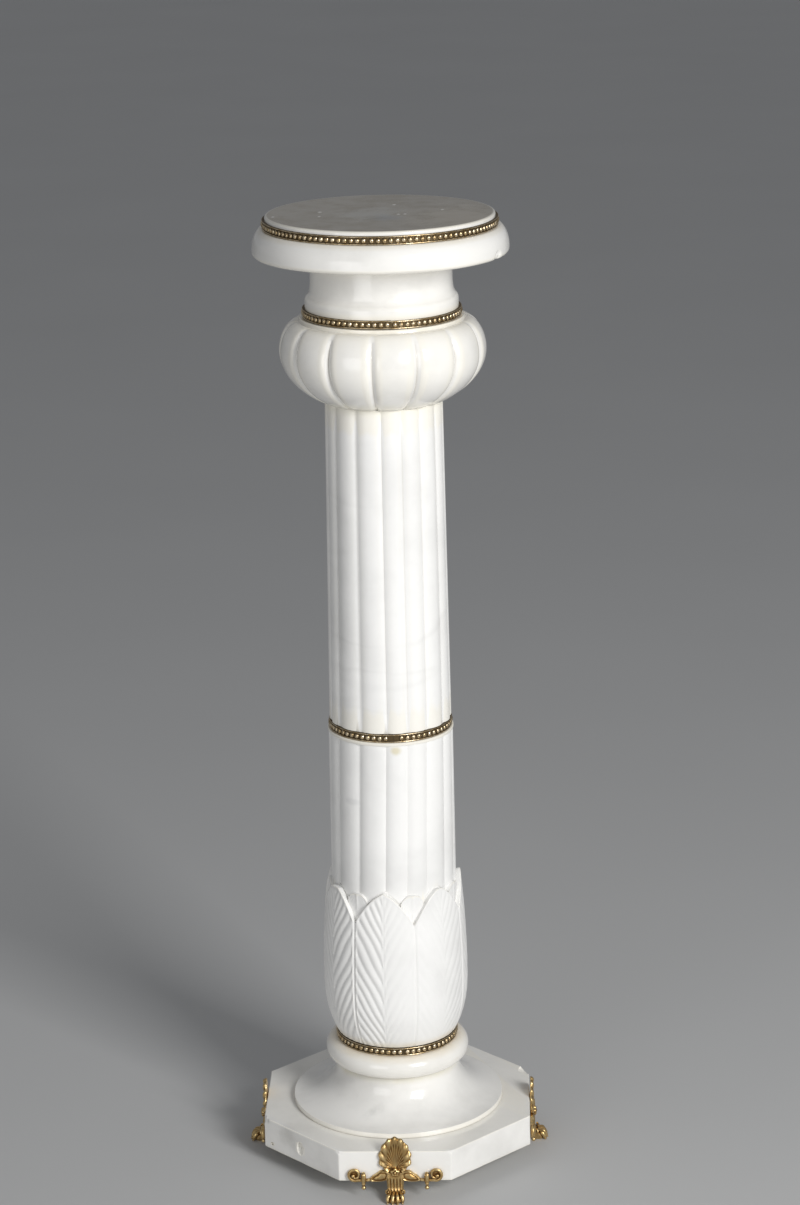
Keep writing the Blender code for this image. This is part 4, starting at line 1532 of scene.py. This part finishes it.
    def leaf_ring(self, side: int, share: float, depth: float) -> Ring:
        """Ring of the ear-shaped leaf that grows out of the leg: a smooth oval inside a rolled edge.

        Args:
            side: side of the leg.
            share: share of its size.
            depth: how far it stands out.

        Returns:
            The ring.
        """
        root = Vector((side * 5.0 * MM, 0.0, self.lift + 9.4 * MM))
        tip = Vector((side * 28.5 * MM, 0.0, self.lift + 2.2 * MM))
        along = (tip - root) / 2.0
        across = Vector((-along.z, 0.0, along.x)).normalized() * side

        def point(bearing: float) -> Vector:
            """Point of the leaf, which is wavy along its upper edge."""
            turn = math.radians(bearing)
            place = math.cos(turn)
            half = (6.4 * MM if math.sin(turn) > 0.0 else 5.0 * MM) * (1.0 - 0.45 * place)
            wave = 1.0 + 0.07 * math.cos(7.0 * turn) * ease(2.0 * math.sin(turn))
            spot = (root + tip) / 2.0 + along * place * share
            spot += across * math.sin(turn) * half * share * wave
            return Vector((spot.x, -depth * MM, spot.z))

        return point

    def arm(self, side: int) -> list[BMesh]:
        """Leaf, stem and open scroll on one side of the leg.

        Args:
            side: side of the leg.

        Returns:
            The forms.
        """
        first = self.scroll_radius - self.bar
        rise = self.lift + self.scroll_rise
        centre = self.arm_reach - 0.6 * MM
        path = []
        for k in range(13):
            share = k / 12.0
            x = mix(20.0 * MM, self.arm_reach - 3.4 * MM, share)
            height = rise - first + (mix(1.1, 0.45, share) - 0.5 * math.sin(math.pi * share)) * MM
            out = mix(1.4, 3.0, ease(1.6 * share)) * MM
            path.append((Vector((side * x, -out, height)), mix(1.5 * MM, self.bar, share), self.bar))
        for k in range(45):
            share = k / 44.0
            turn = math.radians(mix(-20.0, 415.0, share))
            reach = mix(first, 2.2 * MM, share**2.6)
            x = side * (centre + 0.94 * reach * math.sin(turn))
            thick = mix(self.bar, 1.2 * MM, share)
            spot = Vector((x, -mix(3.0, 3.9, share) * MM, rise - reach * math.cos(turn)))
            path.append((spot, thick, thick))
        end = egg(path[-1][0] + Vector((0.0, -0.3 * MM, 0.0)), Vector((2.2, 1.6, 2.2)) * MM)
        web = egg(Vector((side * centre, -1.6 * MM, rise)), Vector((6.6, 1.3, 7.0)) * MM)
        return [spun([self.leaf_ring(side, *row) for row in LEAF_ROWS], 56), tube(path, 12), end, web]

    def drop(self, side: int) -> BMesh:
        """Small turned drop that hangs beside a scroll."""
        top, bottom = self.lift + 12.6 * MM, self.lift - 8.7 * MM
        bm = turned([(1.3 * radius * MM, mix(bottom, top, rise)) for rise, radius in DROP_ROWS], 16)
        bmesh.ops.translate(bm, verts=bm.verts, vec=(side * self.drop_offset, -3.9 * MM, 0.0))
        return bm

    def ledge(self) -> BMesh:
        """Bracket under the plinth."""
        bm = bmesh.new()
        bmesh.ops.create_cube(bm, size=1.0)
        bmesh.ops.scale(bm, verts=bm.verts, vec=Vector((14.0, 16.4, 9.7)) * MM)
        bmesh.ops.translate(bm, verts=bm.verts, vec=(0.0, 5.8 * MM, self.lift - FIT - 4.85 * MM))
        rounding = {"affect": "EDGES", "segments": 2, "profile": 0.5, "material": -1}
        bmesh.ops.bevel(bm, geom=bm.edges[:], offset=0.6 * MM, **rounding)
        return bm

    def casting(self) -> BMesh:
        """All forms of one foot in one mesh."""
        shell = spun([self.shell_ring(*row) for row in SHELL_ROWS], 192)
        rosette = spun([self.rosette_ring(*row) for row in ROSETTE_ROWS], 60)
        forms = [self.leg(), shell, rosette, self.ledge()]
        for k in range(4):
            forms += self.toe((k - 1.5) / 1.5)
        forms += [self.curl(-1), self.curl(1)]
        for side in (-1, 1):
            forms += [*self.arm(side), self.drop(side)]
        bm = join(forms)
        mark_hollows(bm, 1.6, 1)
        # Painted shade: the gilding darkens where other forms of the foot stand close, as between the toes
        mark_occlusion_shade(bm, 2.4 * MM, 0.75)
        return bm

    def build(self) -> list[Object]:
        """Casts one foot and sets a copy on every second side of the plinth."""
        finish = GILT_BRONZE.material()
        casting = self.casting()
        bmesh.ops.translate(casting, verts=casting.verts, vec=(0.0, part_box("plinth")[0].y, 0.0))
        feet = []
        for name, bearing in (("front", 0), ("right", 90), ("back", 180), ("left", 270)):
            bm = casting.copy()
            bmesh.ops.rotate(bm, verts=bm.verts, matrix=Matrix.Rotation(math.radians(bearing), 3, "Z"))
            feet.append(add_piece(f"cast_foot_{name}", bm, finish, f"foot_{name}", 50.0))
        casting.free()
        return feet


# Studio


@dataclass
class Studio:
    """Pale floor, soft lights and the camera.

    Attributes:
        bearing: bearing of the camera.
        distance: its distance from the axis.
        height: its height above the floor.
        pitch: how far it looks down, in degrees.
        roll: turn about its line of sight, in degrees.
        aim: how far right of the axis it looks, in degrees.
        lens: focal length in millimetres on a 36 mm long side.
        middle: height of the column's middle, which the lights face.
    """

    bearing: float = 2.0955
    distance: float = 3.3191
    height: float = 1.6104
    pitch: float = 16.2785
    roll: float = -1.1599
    aim: float = 0.2257
    lens: float = 94.36
    middle: float = 0.55

    def add_camera(self) -> None:
        """Places the camera and makes it the scene's."""
        data = bpy.data.cameras.new("camera")
        data.sensor_width = 36.0
        data.lens = self.lens
        data.clip_end = 200.0
        camera = bpy.data.objects.new("camera", data)
        turn = Matrix.Rotation(math.radians(self.bearing - self.aim), 4, "Z")
        look = Matrix.Rotation(math.radians(90.0 - self.pitch), 4, "X")
        roll = Matrix.Rotation(math.radians(self.roll), 4, "Z")
        place = Matrix.Translation(polar(self.distance, self.bearing, self.height))
        camera.matrix_world = place @ turn @ look @ roll
        bpy.context.scene.collection.objects.link(camera)
        bpy.context.scene.camera = camera

    def add_light(
        self, name: str, bearing: float, elevation: float, distance: float,
        size: tuple[float, float], power: float,
    ) -> None:
        """Hangs a soft box that faces the middle of the column.

        Args:
            name: name of the light.
            bearing: its bearing.
            elevation: its angle above the middle of the column, in degrees.
            distance: its distance from there.
            size: its width and height.
            power: in watts.
        """
        data = bpy.data.lights.new(name, "AREA")
        data.shape = "RECTANGLE"
        data.size, data.size_y = size
        data.energy = power
        light = bpy.data.objects.new(name, data)
        rise = math.radians(elevation)
        away = polar(distance * math.cos(rise), bearing, distance * math.sin(rise))
        light.location = Vector((0.0, 0.0, self.middle)) + away
        light.rotation_euler = (-away).to_track_quat("-Z", "Y").to_euler()
        bpy.context.scene.collection.objects.link(light)

    def add_floor(self) -> None:
        """Lays a plain pale floor."""
        bm = bmesh.new()
        bmesh.ops.create_grid(bm, x_segments=1, y_segments=1, size=30.0)
        floor = add_object("floor", bm)
        material, place = new_material("painted_floor")
        tree = material.node_tree
        cloud = add_node(tree, "TexNoise", {"Vector": place, "Scale": 1.5})
        colour = add_node(tree, "Mix", {0: cloud, 6: linear("C2C2C1"), 7: linear("C8C8C7")}, 2, **COLOURS)
        plug(tree.nodes["Principled BSDF"], {"Base Color": colour, "Roughness": 0.7})
        floor.data.materials.append(material)

    def add_world(self) -> None:
        """Fills the shadows with a dim even grey."""
        world = bpy.data.worlds.new("studio")
        world.use_nodes = True
        plug(world.node_tree.nodes["Background"], {"Color": linear("C4C6CA"), "Strength": 0.4})
        bpy.context.scene.world = world

    def build(self) -> None:
        """Sets up floor, lights and camera."""
        self.add_floor()
        self.add_world()
        self.add_light("key", 36.0, 22.0, 3.8, (1.2, 1.65), 110.0)
        self.add_light("fill", -28.0, 6.0, 3.2, (1.6, 1.6), 15.0)
        self.add_camera()
        bpy.context.scene.view_settings.view_transform = "Standard"


def main() -> None:
    """Builds every part of the column and the studio round it."""
    logging.basicConfig(level=logging.INFO, format="%(message)s")
    reeds = Reeds()
    for part in (
        TopSlab(),
        Neck(),
        LobedCapital(),
        UpperShaft(reeds),
        LowerShaft(reeds),
        BeadRing("beads_top", "bead_ring_top", 126.4 * MM, -4.0),
        BeadRing("beads_neck", "bead_ring_neck", 86.3 * MM, 8.5, climb=0.5 * MM),
        BeadRing("beads_shaft", "bead_ring_shaft", 69.0 * MM, 4.6, bare=10.5 * MM),
        BeadRing("beads_base", "bead_ring_base", 69.5 * MM, 8.0),
        TurnedBase(),
        Plinth(),
        PawFoot(),
    ):
        for piece in part.build():
            LOG.info("%s: %d faces", piece.name, len(piece.data.polygons))
    Studio().build()


if __name__ == "__main__":
    main()
